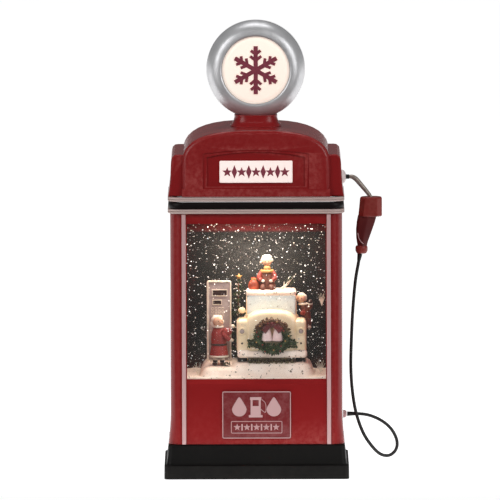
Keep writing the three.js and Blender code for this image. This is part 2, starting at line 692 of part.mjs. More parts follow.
function impellerCover() {
  const disc = cylinderZ(0, 0, CUP.radius - GAP, TANK_FLOOR.zMax - 1.1, TANK_FLOOR.zMax - 0.1, 28);
  const slots = [0, 1, 2, 3, 4, 5].map((i) => box(4, 10.5, -1.3, 1.3, 60, 70).rotateZ(i * Math.PI / 3));
  return cut(disc, ...slots);
}

function backdrop() {
  return box(-TANK_HALF_WIDTH, TANK_HALF_WIDTH, TANK_REAR + GAP, TANK_REAR + 1.5, TANK_BOTTOM, TANK_TOP);
}

// Board above the tank with lamps that shine down into the water.
function tankLightBoard() {
  const board = box(-30, 30, -18, 6, 172.4, 174);
  const lamps = [-20, 0, 20].map((x) => cylinderZ(x, -6, 2.5, 169.4, 172.8, 12));
  const legs = [-28, 28].map((x) => box(x - 1.5, x + 1.5, -10, -2, TANK_TOP + GAP, 172.8));
  return join(board, ...lamps, ...legs);
}

add('water_tank', waterTank(), FINISH.clear);
add('tank_gasket', tankGasket(), FINISH.rubber);
add('tank_floor', tankFloor(), FINISH.white);
add('fill_plug', fillPlug(), FINISH.rubber);
add('impeller', impeller(), FINISH.white);
add('impeller_cover', impellerCover(), FINISH.white);
add('backdrop', backdrop(), FINISH.dark);
add('tank_light_board', tankLightBoard(), FINISH.board);

// ---------------------------------------------------------------- stirring motor

const MOTOR = { radius: 10, top: 38.4, height: 15.5 };

function motorBracket() {
  const top = TANK_FLOOR.zMin - GAP;
  const profile = [
    [-28, top], [-28, top - 2], [-22, top - 2], [-22, 38.7], [22, 38.7], [22, top - 2], [28, top - 2],
    [28, top], [20, top], [20, 40.7], [-20, 40.7], [-20, top],
  ].map(([x, z]) => new THREE.Vector2(x, z));
  return cut(extrudeY(profile, -9, 9), cylinderZ(0, 0, 3, 30, 50, 16));
}

function motor() {
  const can = cylinderZ(0, 0, MOTOR.radius, MOTOR.top - MOTOR.height, MOTOR.top, 28);
  const flats = [box(-20, 20, 7.6, 20, 0, 60), box(-20, 20, -20, -7.6, 0, 60)];
  const bore = cylinderZ(0, 0, 1.4, MOTOR.top - 8, MOTOR.top + 5, 12);
  return cut(can, ...flats, bore);
}

add('motor', motor(), FINISH.steel);
add('motor_bracket', motorBracket(), FINISH.steel);
add('magnet_rotor', join(
  cylinderZ(0, 0, 1, MOTOR.top - 7.6, 44, 10), cylinderZ(0, 0, 9, 41.5, 45.5, 28),
), FINISH.dark);

// ---------------------------------------------------------------- electronics

function circuitBoard() {
  const board = box(-42, -6, 31.6, 33.2, 28, 54);
  const chip = box(-32, -24, 30.2, 32, 31, 36);
  const capacitor = cylinderY(-13, 46, 2.6, 25, 32, 14);
  const resistor = box(-40, -35, 30.4, 32, 44, 46.4);
  return join(board, chip, capacitor, resistor);
}

function switchBody() {
  const { x, z, travel } = SWITCH;
  const can = box(x - 6.5, x + 6.5, 33.5, 38.6, z - 3.5, z + 3.5);
  const reach = travel + 1.5 + GAP;
  return cut(can, box(x - reach, x + reach, 35, 45, z - 1.8, z + 1.8));
}

function switchSlider() {
  const { x, z } = SWITCH;
  const stem = box(x - 1.5, x + 1.5, 35.3, 45.6, z - 1.5, z + 1.5);
  const grooves = [-0.8, 0, 0.8].map((dx) => box(x + dx - 0.2, x + dx + 0.2, 45.2, 46, z - 2, z + 2));
  return cut(stem, ...grooves);
}

add('circuit_board', circuitBoard(), FINISH.board);
add('switch_body', switchBody(), FINISH.steel);
add('switch_slider', switchSlider(), FINISH.black);

// ---------------------------------------------------------------- scene in the water

const SCENE_Y = -8;
const SNOW_TOP = 74.6;

function ellipseOutline(halfWidth, halfDepth, segments = 32) {
  return Array.from({ length: segments }, (_, i) => {
    const angle = i / segments * 2 * Math.PI;
    return new THREE.Vector2(halfWidth * Math.cos(angle), halfDepth * Math.sin(angle));
  });
}

function snowGround() {
  const bottom = TANK_FLOOR.zMax + GAP;
  return loft([
    [bottom, ellipseOutline(38.5, 25)], [bottom + 4, ellipseOutline(39, 25.5)],
    [SNOW_TOP - 4, ellipseOutline(37, 24)], [SNOW_TOP - 1.5, ellipseOutline(33, 21)],
    [SNOW_TOP, ellipseOutline(27, 17)],
  ]).translate(0, SCENE_Y, 0);
}

function truck() {
  const tyres = [-9, 29.2].map((x) => cylinderX(-18, SNOW_TOP + GAP + 7, 7, x - 3.2, x + 3.2, 18));
  const rearTyres = [-7, 27.2].map((x) => cylinderX(8, SNOW_TOP + GAP + 7, 7, x - 3.2, x + 3.2, 18));
  const chassis = box(-6, 26.2, -24, 13, 79, 86);
  const fenders = [-5.5, 25.9].map((x) => ball(x, -18, 88, 7.2, 9, 9.5, 12));
  const bonnet = roundedOutline(10.5, 8, 4, 3);
  const bonnetBlock = loft([[84, bonnet], [103, bonnet], [107.5, roundedOutline(8.5, 7, 4, 3)]])
    .translate(10.2, -18.4, 0);
  const cab = loft([
    [84, roundedOutline(16.5, 9, 4, 3)], [109, roundedOutline(15.6, 8.6, 4, 3)],
    [117, roundedOutline(14, 7.6, 4, 3)], [120, roundedOutline(11.5, 5.6, 4, 3)],
  ]).translate(9.8, -3.5, 0);
  const bumper = box(-12.5, 33, -29, -26, 78, 83);
  const bumperArms = box(2, 18, -27, -20, 79.5, 82.5);
  const mirror = join(ball(-10, -9, 107, 2.6, 2.6, 2.6, 8), box(-10, -4, -9.6, -8.4, 105, 106.4));
  return join(chassis, ...tyres, ...rearTyres, ...fenders, bonnetBlock, cab, bumper, bumperArms, mirror);
}

function wreath() {
  const ring = new THREE.TorusGeometry(8.9, 2.8, 6, 20).rotateX(Math.PI / 2);
  return ring.translate(10.2, -32.2, 91.5);
}

function miniPump() {
  const slab = roundedOutline(8, 5, 1.5, 2);
  return loft([[SNOW_TOP + GAP, slab], [124, slab], [125.4, roundedOutline(6.8, 4, 1.5, 2)]])
    .translate(-24.2, -2, 0);
}

// Little person: flared coat, round head, pointed cap, two arms and two legs.
function figure(x, y, zFoot, height, coatRadius) {
  const at = (fraction) => zFoot + fraction * height;
  const coat = [
    [0, at(0.2)], [coatRadius, at(0.2)], [coatRadius * 0.8, at(0.42)],
    [coatRadius * 0.55, at(0.62)], [0, at(0.66)],
  ];
  const cap = [[0, at(0.8)], [coatRadius * 0.68, at(0.82)], [coatRadius * 0.3, at(0.94)], [0, at(1)]];
  const headRadius = height * 0.105;
  const body = turned(coat, 10).translate(x, y, 0);
  const head = ball(x, y, at(0.75), headRadius, headRadius, headRadius * 1.1, 10);
  const legs = [-1, 1].map((side) => cylinderZ(
    x + side * coatRadius * 0.4, y, coatRadius * 0.24, zFoot, at(0.25), 6,
  ));
  const arms = [-1, 1].map((side) => ball(
    x + side * coatRadius * 0.8, y - coatRadius * 0.3, at(0.5),
    coatRadius * 0.4, coatRadius * 0.45, height * 0.13, 6,
  ));
  return join(body, head, ...legs, ...arms, turned(cap, 10).translate(x, y, 0));
}

add('snow_ground', snowGround(), FINISH.snow);
add('truck', truck(), FINISH.resin);
add('wreath', wreath(), FINISH.green);
add('mini_pump', miniPump(), FINISH.white);
add('figure_left', figure(-24.5, -17, SNOW_TOP + GAP, 32, 6.8), FINISH.figure);
add('figure_top', figure(7, -3.5, 120.6, 24, 5), FINISH.figure);
add('figure_right', figure(34, -6, 88, 33, 5), FINISH.figure);

// ---------------------------------------------------------------- nozzle and hose

function nozzleBoss() {
  const innerFace = 56.4;
  const outline = [
    [TIP_RADIUS + GAP, innerFace], [4.9, innerFace], [4.3, 57.4], [3, 58.1], [TIP_RADIUS + GAP, 58.4],
  ];
  return turned(outline, 24).rotateY(Math.PI / 2).translate(0, 0, NOZZLE_HOLE_Z);
}

const NOZZLE_BLOCK = { xMin: 67.7, xMax: 81.8, zMin: 166.8, zMax: 179.5, halfDepth: 6 };
const FERRULE = { x: 68.5, radius: 4, zMin: 142.3, zMax: 147.7 };

function nozzleBody() {
  const { xMin, xMax, zMin, zMax, halfDepth } = NOZZLE_BLOCK;
  const blockOutline = [
    [xMin + 0.8, zMax], [xMin, zMax - 1], [xMin - 0.6, zMin + 1], [xMin, zMin], [xMax - 1.2, zMin - 0.4],
    [xMax, zMin + 1], [xMax, zMax - 2.4], [xMax - 1, zMax],
  ].map(([x, z]) => new THREE.Vector2(x, z)).reverse();
  const handleOutline = [
    [xMin - 1.3, zMin + 2], [xMin - 1.9, 158], [xMin - 1.9, 148], [FERRULE.x + 3.7, 148],
    [FERRULE.x + 5.6, 156], [xMax - 4, zMin + 2],
  ].map(([x, z]) => new THREE.Vector2(x, z));
  const block = extrudeY(blockOutline, -halfDepth, halfDepth, 1, 2);
  const handle = extrudeY(handleOutline, -4.2, 4.2, 1.2, 2);
  return join(block, handle);
}

function ferrule() {
  const { x, radius, zMin, zMax } = FERRULE;
  return turned([
    [0, zMin], [radius - 1.2, zMin], [radius, zMin + 1],
    [radius, zMax - 0.4], [radius - 0.4, zMax], [0, zMax],
  ], 20).translate(x, 0, 0);
}

function hoseSocket() {
  const innerFace = BODY_HALF_WIDTH + 0.6;
  const outline = [[0, innerFace], [2.6, innerFace], [2.6, 57.4], [1.7, 58.6], [0, 58.6]];
  return turned(outline, 16).rotateY(Math.PI / 2).translate(0, SOCKET_Y, SOCKET_Z);
}

const SPOUT_ROUTE = [
  [60.9, 0, NOZZLE_HOLE_Z], [62.4, 0, NOZZLE_HOLE_Z - 0.1], [64.4, 0, 191.3],
  [67.4, 0, 188], [73.4, 0, 181.2],
];

const HOSE_ROUTE = [
  [67.4, 0, 142], [66.6, 0, 137], [64.6, -0.4, 125.6], [62.8, -1, 106.3], [61.8, -1.8, 87.1],
  [61.4, -2.3, 67.8], [62.4, -2.6, 52.4], [64.8, -2.6, 38.3], [69.2, -2.2, 25.6], [74, -1.6, 17.8],
  [79, -0.8, 12.3], [82.4, -0.2, 10.4], [86.2, 0.3, 10.2], [89.4, 0.8, 12.2], [91.2, 1.1, 15.4],
  [91.4, 1.3, 19], [90.2, 1.5, 23], [87.4, 1.6, 27.6], [83.4, 1.6, 31.4], [78.4, 1.6, 34.4],
  [72.4, 1.6, 36.6], [66.1, 1.6, SOCKET_Z], [58.9, SOCKET_Y, SOCKET_Z],
];

add('nozzle_boss', nozzleBoss(), FINISH.silver);
add('spout_tip', cylinderX(0, NOZZLE_HOLE_Z, TIP_RADIUS, 54, 60.6, 14), FINISH.rubber);
add('nozzle_spout', tube(SPOUT_ROUTE, SPOUT_RADIUS, 10, 12), FINISH.steel);
add('nozzle_body', nozzleBody(), FINISH.red);
add('nozzle_ferrule', ferrule(), FINISH.red);
add('hose_socket', hoseSocket(), FINISH.silver);
add('hose', tube(HOSE_ROUTE, HOSE_RADIUS, 8, 46), FINISH.rubber);

export default lantern;
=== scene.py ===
"""Looks of a glitter lantern in the shape of a vintage fuel pump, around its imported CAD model.

Shapes are drawn in millimetres and scaled to metres when they become objects.
Places come from the CAD nodes.
"""

import math
import random

import bmesh
import bpy
from mathutils import Matrix, Quaternion, Vector, noise


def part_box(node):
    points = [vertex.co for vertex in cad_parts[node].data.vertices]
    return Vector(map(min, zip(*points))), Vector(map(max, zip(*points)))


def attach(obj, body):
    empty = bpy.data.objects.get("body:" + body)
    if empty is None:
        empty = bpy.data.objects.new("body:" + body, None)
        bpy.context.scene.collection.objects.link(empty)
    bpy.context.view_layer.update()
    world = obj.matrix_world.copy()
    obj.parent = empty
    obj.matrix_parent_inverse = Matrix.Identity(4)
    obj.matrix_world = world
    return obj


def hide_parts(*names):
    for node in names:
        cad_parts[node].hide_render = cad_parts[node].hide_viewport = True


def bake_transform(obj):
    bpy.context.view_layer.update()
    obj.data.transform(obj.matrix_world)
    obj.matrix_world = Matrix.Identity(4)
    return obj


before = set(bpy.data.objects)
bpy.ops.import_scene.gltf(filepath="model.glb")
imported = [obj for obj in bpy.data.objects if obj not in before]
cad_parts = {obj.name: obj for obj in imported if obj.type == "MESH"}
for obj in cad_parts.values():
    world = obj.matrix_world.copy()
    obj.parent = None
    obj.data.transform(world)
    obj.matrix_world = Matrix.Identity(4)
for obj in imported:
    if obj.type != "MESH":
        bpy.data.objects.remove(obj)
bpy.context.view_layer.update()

MM = 0.001
scene = bpy.context.scene
rng = random.Random(7)


# ---- camera

CAMERA_TILT = math.radians(5.5)
CAMERA_DISTANCE = 8.0
CAMERA_ROLL = -0.0027
VIEW_WIDTH = 0.325
CAMERA_TARGET = (-0.004, 0, 0.14475)
SENSOR = 36.0


def make_camera():
    """A very long lens, so that the view is nearly parallel."""
    data = bpy.data.cameras.new("camera")
    data.sensor_width = SENSOR
    data.lens = SENSOR * CAMERA_DISTANCE / VIEW_WIDTH
    data.clip_end = 50
    camera = bpy.data.objects.new("camera", data)
    scene.collection.objects.link(camera)
    back = Vector((0, -math.cos(CAMERA_TILT), math.sin(CAMERA_TILT)))
    camera.location = Vector(CAMERA_TARGET) + back * CAMERA_DISTANCE
    camera.rotation_mode = "QUATERNION"
    level = (-back).to_track_quat("-Z", "Y")
    camera.rotation_quaternion = level @ Quaternion((0, 0, 1), CAMERA_ROLL)
    scene.camera = camera


# ---- mesh helpers, in millimetres

def span(node):
    """Lowest and highest corner of a CAD node, in millimetres."""
    low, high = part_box(node)
    return low / MM, high / MM


def middle(node):
    """Middle of a CAD node's box, in millimetres."""
    low, high = span(node)
    return (low + high) / 2


def make(name, bm, material, body="housing", replaces=(), smooth=True):
    """Turns a bmesh drawn in millimetres into a piece that rides on a body."""
    bmesh.ops.recalc_face_normals(bm, faces=bm.faces)
    bmesh.ops.scale(bm, vec=(MM, MM, MM), verts=bm.verts)
    mesh = bpy.data.meshes.new(name)
    bm.to_mesh(mesh)
    bm.free()
    mesh.polygons.foreach_set("use_smooth", [smooth] * len(mesh.polygons))
    mesh.materials.append(material)
    obj = bpy.data.objects.new(name, mesh)
    scene.collection.objects.link(obj)
    if body:
        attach(obj, body)
    if replaces:
        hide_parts(*replaces)
    return obj


def soft_edges(obj, width, segments, angle=32):
    """Rounds the sharp edges and evens out the shading."""
    bevel = obj.modifiers.new("edges", "BEVEL")
    bevel.width = width * MM
    bevel.segments = segments
    bevel.limit_method = "ANGLE"
    bevel.angle_limit = math.radians(angle)
    normals = obj.modifiers.new("normals", "WEIGHTED_NORMAL")
    normals.keep_sharp = False
    normals.weight = 80
    return obj


def cad_finish(node, material, width, segments=2):
    """Gives a CAD node its material, rounded edges and clean shading."""
    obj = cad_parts[node]
    obj.data.materials.clear()
    obj.data.materials.append(material)
    obj.data.polygons.foreach_set("use_smooth", [True] * len(obj.data.polygons))
    weld = obj.modifiers.new("weld", "WELD")
    weld.merge_threshold = 0.00001
    flats = obj.modifiers.new("flats", "DECIMATE")
    flats.decimate_type = "DISSOLVE"
    flats.angle_limit = math.radians(1.5)
    if width:
        soft_edges(obj, width, segments)
    return obj


def circle(count):
    """Directions evenly spaced around a full turn, as (cosine, sine)."""
    return [(math.cos(i / count * math.tau), math.sin(i / count * math.tau)) for i in range(count)]


def ring_path(centre, radius, steps, upright=False):
    """Points once around a circle and back to the first: level, or upright and facing the front."""
    turns = circle(steps)
    turns.append(turns[0])
    return [Vector(centre) + Vector((c, 0, s) if upright else (c, s, 0)) * radius for c, s in turns]


def rounded_outline(half_width, half_depth, radius, steps):
    """Corner points of a rounded rectangle, anticlockwise."""
    points = []
    for corner in range(4):
        sign_x = 1 if corner in (0, 3) else -1
        sign_y = 1 if corner < 2 else -1
        for step in range(steps + 1):
            angle = (corner + step / steps) * math.pi / 2
            points.append((
                sign_x * (half_width - radius) + radius * math.cos(angle),
                sign_y * (half_depth - radius) + radius * math.sin(angle),
            ))
    return points


def skin(bm, rows):
    """Faces between each row of vertices and the next; every row is closed."""
    for lower, upper in zip(rows, rows[1:]):
        for i in range(len(lower)):
            j = (i + 1) % len(lower)
            bm.faces.new((lower[i], lower[j], upper[j], upper[i]))


def loft(rings, bm=None):
    """Solid through a list of rings, each a list of 3D points, with both ends closed."""
    bm = bm or bmesh.new()
    rows = [[bm.verts.new(p) for p in ring] for ring in rings]
    skin(bm, rows)
    bm.faces.new(list(reversed(rows[0])))
    bm.faces.new(rows[-1])
    return bm


def hoop(rings, bm=None):
    """Closed band through rings that come back to the first one."""
    bm = bm or bmesh.new()
    rows = [[bm.verts.new(p) for p in ring] for ring in rings]
    skin(bm, rows + rows[:1])
    return bm


def level_loft(levels):
    """Loft of level outlines: each level is (z, outline in x and y)."""
    return loft([[(x, y, z) for x, y in outline] for z, outline in levels])


def prism_y(outline, y_min, y_max, bm):
    """Straight extrusion along Y of an outline in x and z."""
    return loft([[(x, y, z) for x, z in outline] for y in (y_min, y_max)], bm)


def lathe(profile, segments, matrix, bm=None):
    """Turns a profile of (radius, height) about Z. Points on the axis become poles."""
    bm = bm or bmesh.new()
    rows = []
    for radius, height in profile:
        turns = circle(segments) if radius else [(0, 0)]
        rows.append([bm.verts.new(matrix @ Vector((radius * c, radius * s, height))) for c, s in turns])
    for lower, upper in zip(rows, rows[1:]):
        for i in range(segments):
            j = (i + 1) % segments
            corners = [lower[i % len(lower)], lower[j % len(lower)],
                       upper[j % len(upper)], upper[i % len(upper)]]
            unique = list(dict.fromkeys(corners))
            if len(unique) > 2:
                bm.faces.new(unique)
    return bm


def ball(centre, radii, segments, bm):
    """An ellipsoid."""
    steps = segments // 2
    profile = [(math.sin(i / steps * math.pi), -math.cos(i / steps * math.pi)) for i in range(1, steps)]
    matrix = Matrix.Translation(centre) @ Matrix.Diagonal((*radii, 1))
    return lathe([(0, -1), *profile, (0, 1)], segments, matrix, bm)


def smooth_path(points, steps_per_span=6):
    """Points along a centripetal Catmull-Rom curve through the given points."""
    points = [Vector(p) for p in points]
    ends = [2 * points[0] - points[1], *points, 2 * points[-1] - points[-2]]
    path = []
    for a, b, c, d in zip(ends, ends[1:], ends[2:], ends[3:]):
        t0 = 0
        t1 = t0 + (b - a).length ** 0.5
        t2 = t1 + (c - b).length ** 0.5
        t3 = t2 + (d - c).length ** 0.5
        for step in range(steps_per_span):
            t = t1 + (t2 - t1) * step / steps_per_span
            ab = a.lerp(b, (t - t0) / (t1 - t0))
            bc = b.lerp(c, (t - t1) / (t2 - t1))
            cd = c.lerp(d, (t - t2) / (t3 - t2))
            abc = ab.lerp(bc, (t - t0) / (t2 - t0))
            bcd = bc.lerp(cd, (t - t1) / (t3 - t1))
            path.append(abc.lerp(bcd, (t - t1) / (t2 - t1)))
    path.append(points[-1])
    return path


def heading(path, i):
    """Direction of a path at one of its points."""
    return (path[min(i + 1, len(path) - 1)] - path[max(i - 1, 0)]).normalized()


def tube(path, radius, sides, bm=None):
    """Round tube along a path; radius is a number or a function of the share of the length."""
    size = radius if callable(radius) else lambda share: radius
    side = heading(path, 0).orthogonal().normalized()
    rings = []
    for i, point in enumerate(path):
        forward = heading(path, i)
        side = (side - forward * side.dot(forward)).normalized()
        up = forward.cross(side)
        reach = size(i / (len(path) - 1))
        rings.append([point + (side * c + up * s) * reach for c, s in circle(sides)])
    return loft(rings, bm)


# ---- mesh helpers for the finer pieces

def frame_band(centre, half_width, half_height, thickness, y_front, y_back, radius, bm=None):
    """Raised border around an upright rectangle that faces the front."""
    def ring(inset, y):
        outline = rounded_outline(half_width - inset, half_height - inset, max(radius - inset, 0.1), 4)
        return [(centre[0] + x, y, centre[1] + z) for x, z in outline]
    return hoop([ring(0, y_back), ring(0, y_front), ring(thickness, y_front), ring(thickness, y_back)], bm)


def roughen(bm, amount, scale):
    """Moves each vertex a little along its normal by smooth noise."""
    bm.normal_update()
    for vert in bm.verts:
        vert.co += vert.normal * amount * noise.noise(vert.co * scale)


def rounded_block(low, high, radius, steps, bm=None):
    """A box with all its edges rounded, its levels drawn in along a quarter circle."""
    low, high = Vector(low), Vector(high)
    centre, half = (low + high) / 2, (high - low) / 2
    levels = []
    for step in range(steps + 1):
        angle = step / steps * math.pi / 2
        levels.append((low.z + radius * (1 - math.sin(angle)), radius * (1 - math.cos(angle))))
    levels += [(high.z + low.z - z, inset) for z, inset in reversed(levels)]
    rings = []
    for z, inset in sorted(levels):
        outline = rounded_outline(half.x - inset, half.y - inset, max(radius - inset * 0.6, 0.05), steps)
        rings.append([(centre.x + x, centre.y + y, z) for x, y in outline])
    return loft(rings, bm)


def limb(points, radius_start, radius_end, bm, sides=12):
    """Arm, leg or twig: a tapering tube through a few points."""
    def taper(share):
        return radius_start + (radius_end - radius_start) * share
    return tube(smooth_path(points, 5), taper, sides, bm)


def leaf(bm, root, direction, length, width):
    """Pointed leaf with a raised middle."""
    direction = direction.normalized()
    side = direction.orthogonal().normalized()
    side = Matrix.Rotation(rng.uniform(0, math.tau), 3, direction) @ side
    up = direction.cross(side)
    waist = root + direction * length * 0.5
    corners = [root, waist + side * width / 2, root + direction * length, waist - side * width / 2]
    rim = [bm.verts.new(p) for p in corners]
    ridge = bm.verts.new(waist + up * width * 0.3)
    for a, b in zip(rim, rim[1:] + rim[:1]):
        bm.faces.new((a, b, ridge))


def tufts(path, radius, count, length, width, bm):
    """Leaves that stand out all around a path."""
    for _ in range(count):
        place = rng.uniform(0, len(path) - 1.001)
        index = int(place)
        point = path[index].lerp(path[index + 1], place - index)
        forward = (path[index + 1] - path[index]).normalized()
        out = Matrix.Rotation(rng.uniform(0, math.tau), 3, forward) @ forward.orthogonal().normalized()
        leaf(bm, point + out * radius * 0.6, out + forward * rng.uniform(-0.6, 0.6), length, width)


# ---- material helpers

class Nodes:
    """Short ways to build a material's node tree."""

    def __init__(self, name):
        self.material = bpy.data.materials.new(name)
        self.material.use_nodes = True
        self.tree = self.material.node_tree
        self.shader = self.tree.nodes["Principled BSDF"]
        self.place = self.add("ShaderNodeTexCoord").outputs["Object"]

    def add(self, kind, **values):
        node = self.tree.nodes.new(kind)
        for key, value in values.items():
            setattr(node, key, value)
        return node

    def link(self, output, target):
        self.tree.links.new(output, target)

    def set(self, **values):
        for key, value in values.items():
            self.shader.inputs[key.replace("_", " ")].default_value = value

    def noise(self, scale, detail=3, roughness=0.55):
        node = self.add("ShaderNodeTexNoise")
        for name, number in (("Scale", scale), ("Detail", detail), ("Roughness", roughness)):
            node.inputs[name].default_value = number
        self.link(self.place, node.inputs["Vector"])
        return node.outputs["Fac"]

    def ramp(self, value, stops):
        """Colour ramp: stops are (position, colour)."""
        node = self.add("ShaderNodeValToRGB")
        elements = node.color_ramp.elements
        while len(elements) < len(stops):
            elements.new(0.5)
        for element, (position, colour) in zip(elements, stops):
            element.position = position
            element.color = (*colour, 1)
        self.link(value, node.inputs["Fac"])
        return node.outputs["Color"]

    def tone(self, scale, detail, shade, colour, low=0.3, high=0.7):
        """Noise that drifts between two colours."""
        return self.ramp(self.noise(scale, detail), [(low, srgb(shade)), (high, srgb(colour))])

    def mix(self, factor, first, second):
        """Blend of two colours or sockets."""
        node = self.add("ShaderNodeMix", data_type="RGBA")
        self.link(factor, node.inputs[0])
        for value, socket in ((first, node.inputs[6]), (second, node.inputs[7])):
            if isinstance(value, bpy.types.NodeSocket):
                self.link(value, socket)
            else:
                socket.default_value = (*value, 1)
        return node.outputs[2]

    def calc(self, operation, value, number=0.5):
        node = self.add("ShaderNodeMath", operation=operation)
        self.link(value, node.inputs[0])
        node.inputs[1].default_value = number
        return node.outputs[0]

    def axes(self):
        """The point's X, Y and Z as sockets."""
        node = self.add("ShaderNodeSeparateXYZ")
        self.link(self.place, node.inputs[0])
        return node.outputs

    def geometry(self, output):
        return self.add("ShaderNodeNewGeometry").outputs[output]

    def span_map(self, value, low, high, from_low=0.3, from_high=0.7):
        """Maps a value from one span to another."""
        node = self.add("ShaderNodeMapRange")
        self.link(value, node.inputs["Value"])
        for name, number in (
            ("From Min", from_low), ("From Max", from_high), ("To Min", low), ("To Max", high),
        ):
            node.inputs[name].default_value = number
        return node.outputs["Result"]

    def ridges(self, low, high):
        """0 below a sharpness of edge and 1 above another; 0.5 is flat."""
        return self.span_map(self.geometry("Pointiness"), 0, 1, low, high)

    def surface(self, base, gloss, grain=None, depth=0.2):
        """Sets the colour, the roughness as (scale, detail, low, high) of a noise, and the relief as
        (scale, detail, strength) of another, its depth in millimetres."""
        scale, detail, low, high = gloss
        self.link(base, self.shader.inputs["Base Color"])
        self.link(self.span_map(self.noise(scale, detail), low, high), self.shader.inputs["Roughness"])
        if grain:
            self.relief(*grain, depth)
        return self.material

    def relief(self, scale, detail, strength, depth=0.2):
        node = self.add("ShaderNodeBump")
        node.inputs["Strength"].default_value = strength
        node.inputs["Distance"].default_value = depth * MM
        self.link(self.noise(scale, detail), node.inputs["Height"])
        self.link(node.outputs["Normal"], self.shader.inputs["Normal"])


def srgb(hex_colour):
    """Linear colour of a hex string such as '84262a'."""
    parts = [int(hex_colour[i:i + 2], 16) / 255 for i in (0, 2, 4)]
    return tuple(c / 12.92 if c <= 0.04045 else ((c + 0.055) / 1.055) ** 2.4 for c in parts)


# Plastics: colour, shade, lighter edges (wear and a painted highlight), roughness, gloss.
PLASTICS = {
    "red_plastic": ("861416", "831315", "b05450", 0.26, 0.4),
    "plaque_paint": ("701a1e", "681619", "94585a", 0.3, 0.25),
    "nozzle_plastic": ("8a2a24", "7c2421", "b06860", 0.32, 0.35),
    "grip_plastic": ("60201f", "4e1a1c", "8c4a46", 0.32, 0.35),
    "black_plastic": ("0d0c0b", "090808", "24211f", 0.45, 0.15),
    "belt_black": ("0e0606", "0a0404", "2c2020", 0.4, 0.2),
    "white_plastic": ("e8e4dc", "dcd6cc", "f2f0ea", 0.5, 0.2),
}

# Silver paints: shade, colour, ridges (lighter: wear and a painted highlight).
SILVERS = {
    "trim_silver": ("a06e70", "b07c7e", "cca6a6"),
    "belt_silver": ("6c5652", "88726c", "ccb6b0"),
    "boss_silver": ("d8c0be", "e8d4d2", "f4e8e6"),
}


def moulded(name):
    """Moulded or painted plastic: slow colour drift, fine grain, and edges lighter with wear and a painted
    highlight.
    """
    colour, shade, edge_wear_and_highlight, roughness, gloss = PLASTICS[name]
    m = Nodes(name)
    base = m.tone(22, 4, shade, colour, 0.3, 0.62)
    scuffs = m.span_map(m.noise(315, 5, 0.7), 0.1, 0.6, 0.4, 0.7)
    rubbed_and_highlit = m.mix(scuffs, base, srgb(edge_wear_and_highlight))
    m.set(Specular_IOR_Level=gloss)
    # Edges take the lighter colour: partly wear, partly a painted highlight.
    edged = m.mix(m.ridges(0.515, 0.58), base, rubbed_and_highlit)
    return m.surface(edged, (60, 4, roughness - 0.01, roughness + 0.01), (900, 2, 0.04))


def silver_paint(name):
    """Silver paint on a raised moulding, warm in tone, lighter along its ridges: partly wear, partly a
    painted highlight.
    """
    shade, colour, ridge = SILVERS[name]
    m = Nodes(name)
    base = m.tone(160, 4, shade, colour, 0.35, 0.65)
    m.set(Metallic=0.12, Specular_IOR_Level=0.3)
    # Ridges take the lighter colour: partly wear, partly a painted highlight.
    return m.surface(m.mix(m.ridges(0.48, 0.56), base, srgb(ridge)), (700, 3, 0.38, 0.5), (1500, 2, 0.15))


def globe_silver():
    """Satin metallised ring, its gloss a little uneven."""
    m = Nodes("globe_silver")
    m.set(Metallic=0.7)
    return m.surface(m.tone(90, 4, "d2d2d4", "e6e6e8"), (300, 3, 0.36, 0.44), (700, 2, 0.03))


def lit_face(name, colour, shade, strength):
    """Cream plastic that glows as if lit from behind."""
    m = Nodes(name)
    tone = m.tone(30, 3, shade, colour)
    m.link(tone, m.shader.inputs["Base Color"])
    m.link(tone, m.shader.inputs["Emission Color"])
    m.relief(900, 2, 0.1)
    m.set(Emission_Strength=strength, Roughness=0.4)
    return m.material


def printed_red():
    """Dark red print ink with slightly uneven cover."""
    m = Nodes("printed_red")
    return m.surface(m.tone(500, 4, "7c3040", "8e3c4c"), (900, 3, 0.4, 0.6))


def spout_metal():
    """Dull bare metal of the nozzle's spout."""
    m = Nodes("spout_metal")
    m.set(Metallic=0.6)
    return m.surface(m.tone(400, 5, "8e847c", "bcb0a6"), (900, 4, 0.3, 0.5), (1600, 2, 0.2))


def rubber(name):
    m = Nodes(name)
    return m.surface(m.tone(300, 4, "0e0e0e", "1d1c1b"), (700, 3, 0.42, 0.6), (1800, 2, 0.25))


def clear_tank():
    """Clear moulded tank wall: nearly all see-through, with a faint drift in its gloss."""
    m = Nodes("clear_tank")
    m.set(Alpha=0.01, IOR=1.45)
    m.material.blend_method = "BLEND"
    return m.surface(m.tone(40, 2, "dfe4e6", "eef2f3"), (50, 3, 0.02, 0.06))


CARD_RED_BAND = 0.0135  # height of the red band along the card's top, in metres


def backdrop_card():
    """Dark card behind the water: grey-brown and cloudy, redder at its sides, top and foot."""
    m = Nodes("backdrop_card")
    low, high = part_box("backdrop")
    axes = m.axes()
    side = m.span_map(m.calc("ABSOLUTE", axes["X"]), 0, 0.6, high.x * 0.78, high.x)
    band = high.z - CARD_RED_BAND
    top = m.span_map(axes["Z"], 0, 1, band - 0.001, band + 0.001)
    foot = m.span_map(axes["Z"], 0.9, 0, low.z + 0.002, low.z + 0.01)
    tone = m.tone(28, 5, "191715", "23201d")
    for share, colour in ((side, "3c1f1f"), (top, "701618"), (foot, "5c1e1e")):
        tone = m.mix(share, tone, srgb(colour))
    return m.surface(tone, (300, 3, 0.6, 0.8), (500, 3, 0.2), 0.3)


def glitter_foil():
    """Glitter flakes: each one has its own brightness and glows with a painted glint, some far brighter
    than others.
    """
    m = Nodes("glitter_foil")
    own = m.geometry("Random Per Island")
    tone = m.ramp(own, [(0.0, srgb("7a7470")), (0.5, srgb("c4bab0")), (1.0, srgb("ffffff"))])
    m.link(tone, m.shader.inputs["Base Color"])
    m.link(tone, m.shader.inputs["Emission Color"])
    # Painted glint: the flakes glow by themselves in place of reflected sparkle.
    painted_glint = m.span_map(m.calc("POWER", own, 1.6), 0.15, 1.4, 0, 1)
    m.link(painted_glint, m.shader.inputs["Emission Strength"])
    m.set(Metallic=0.3, Roughness=0.35)
    return m.material


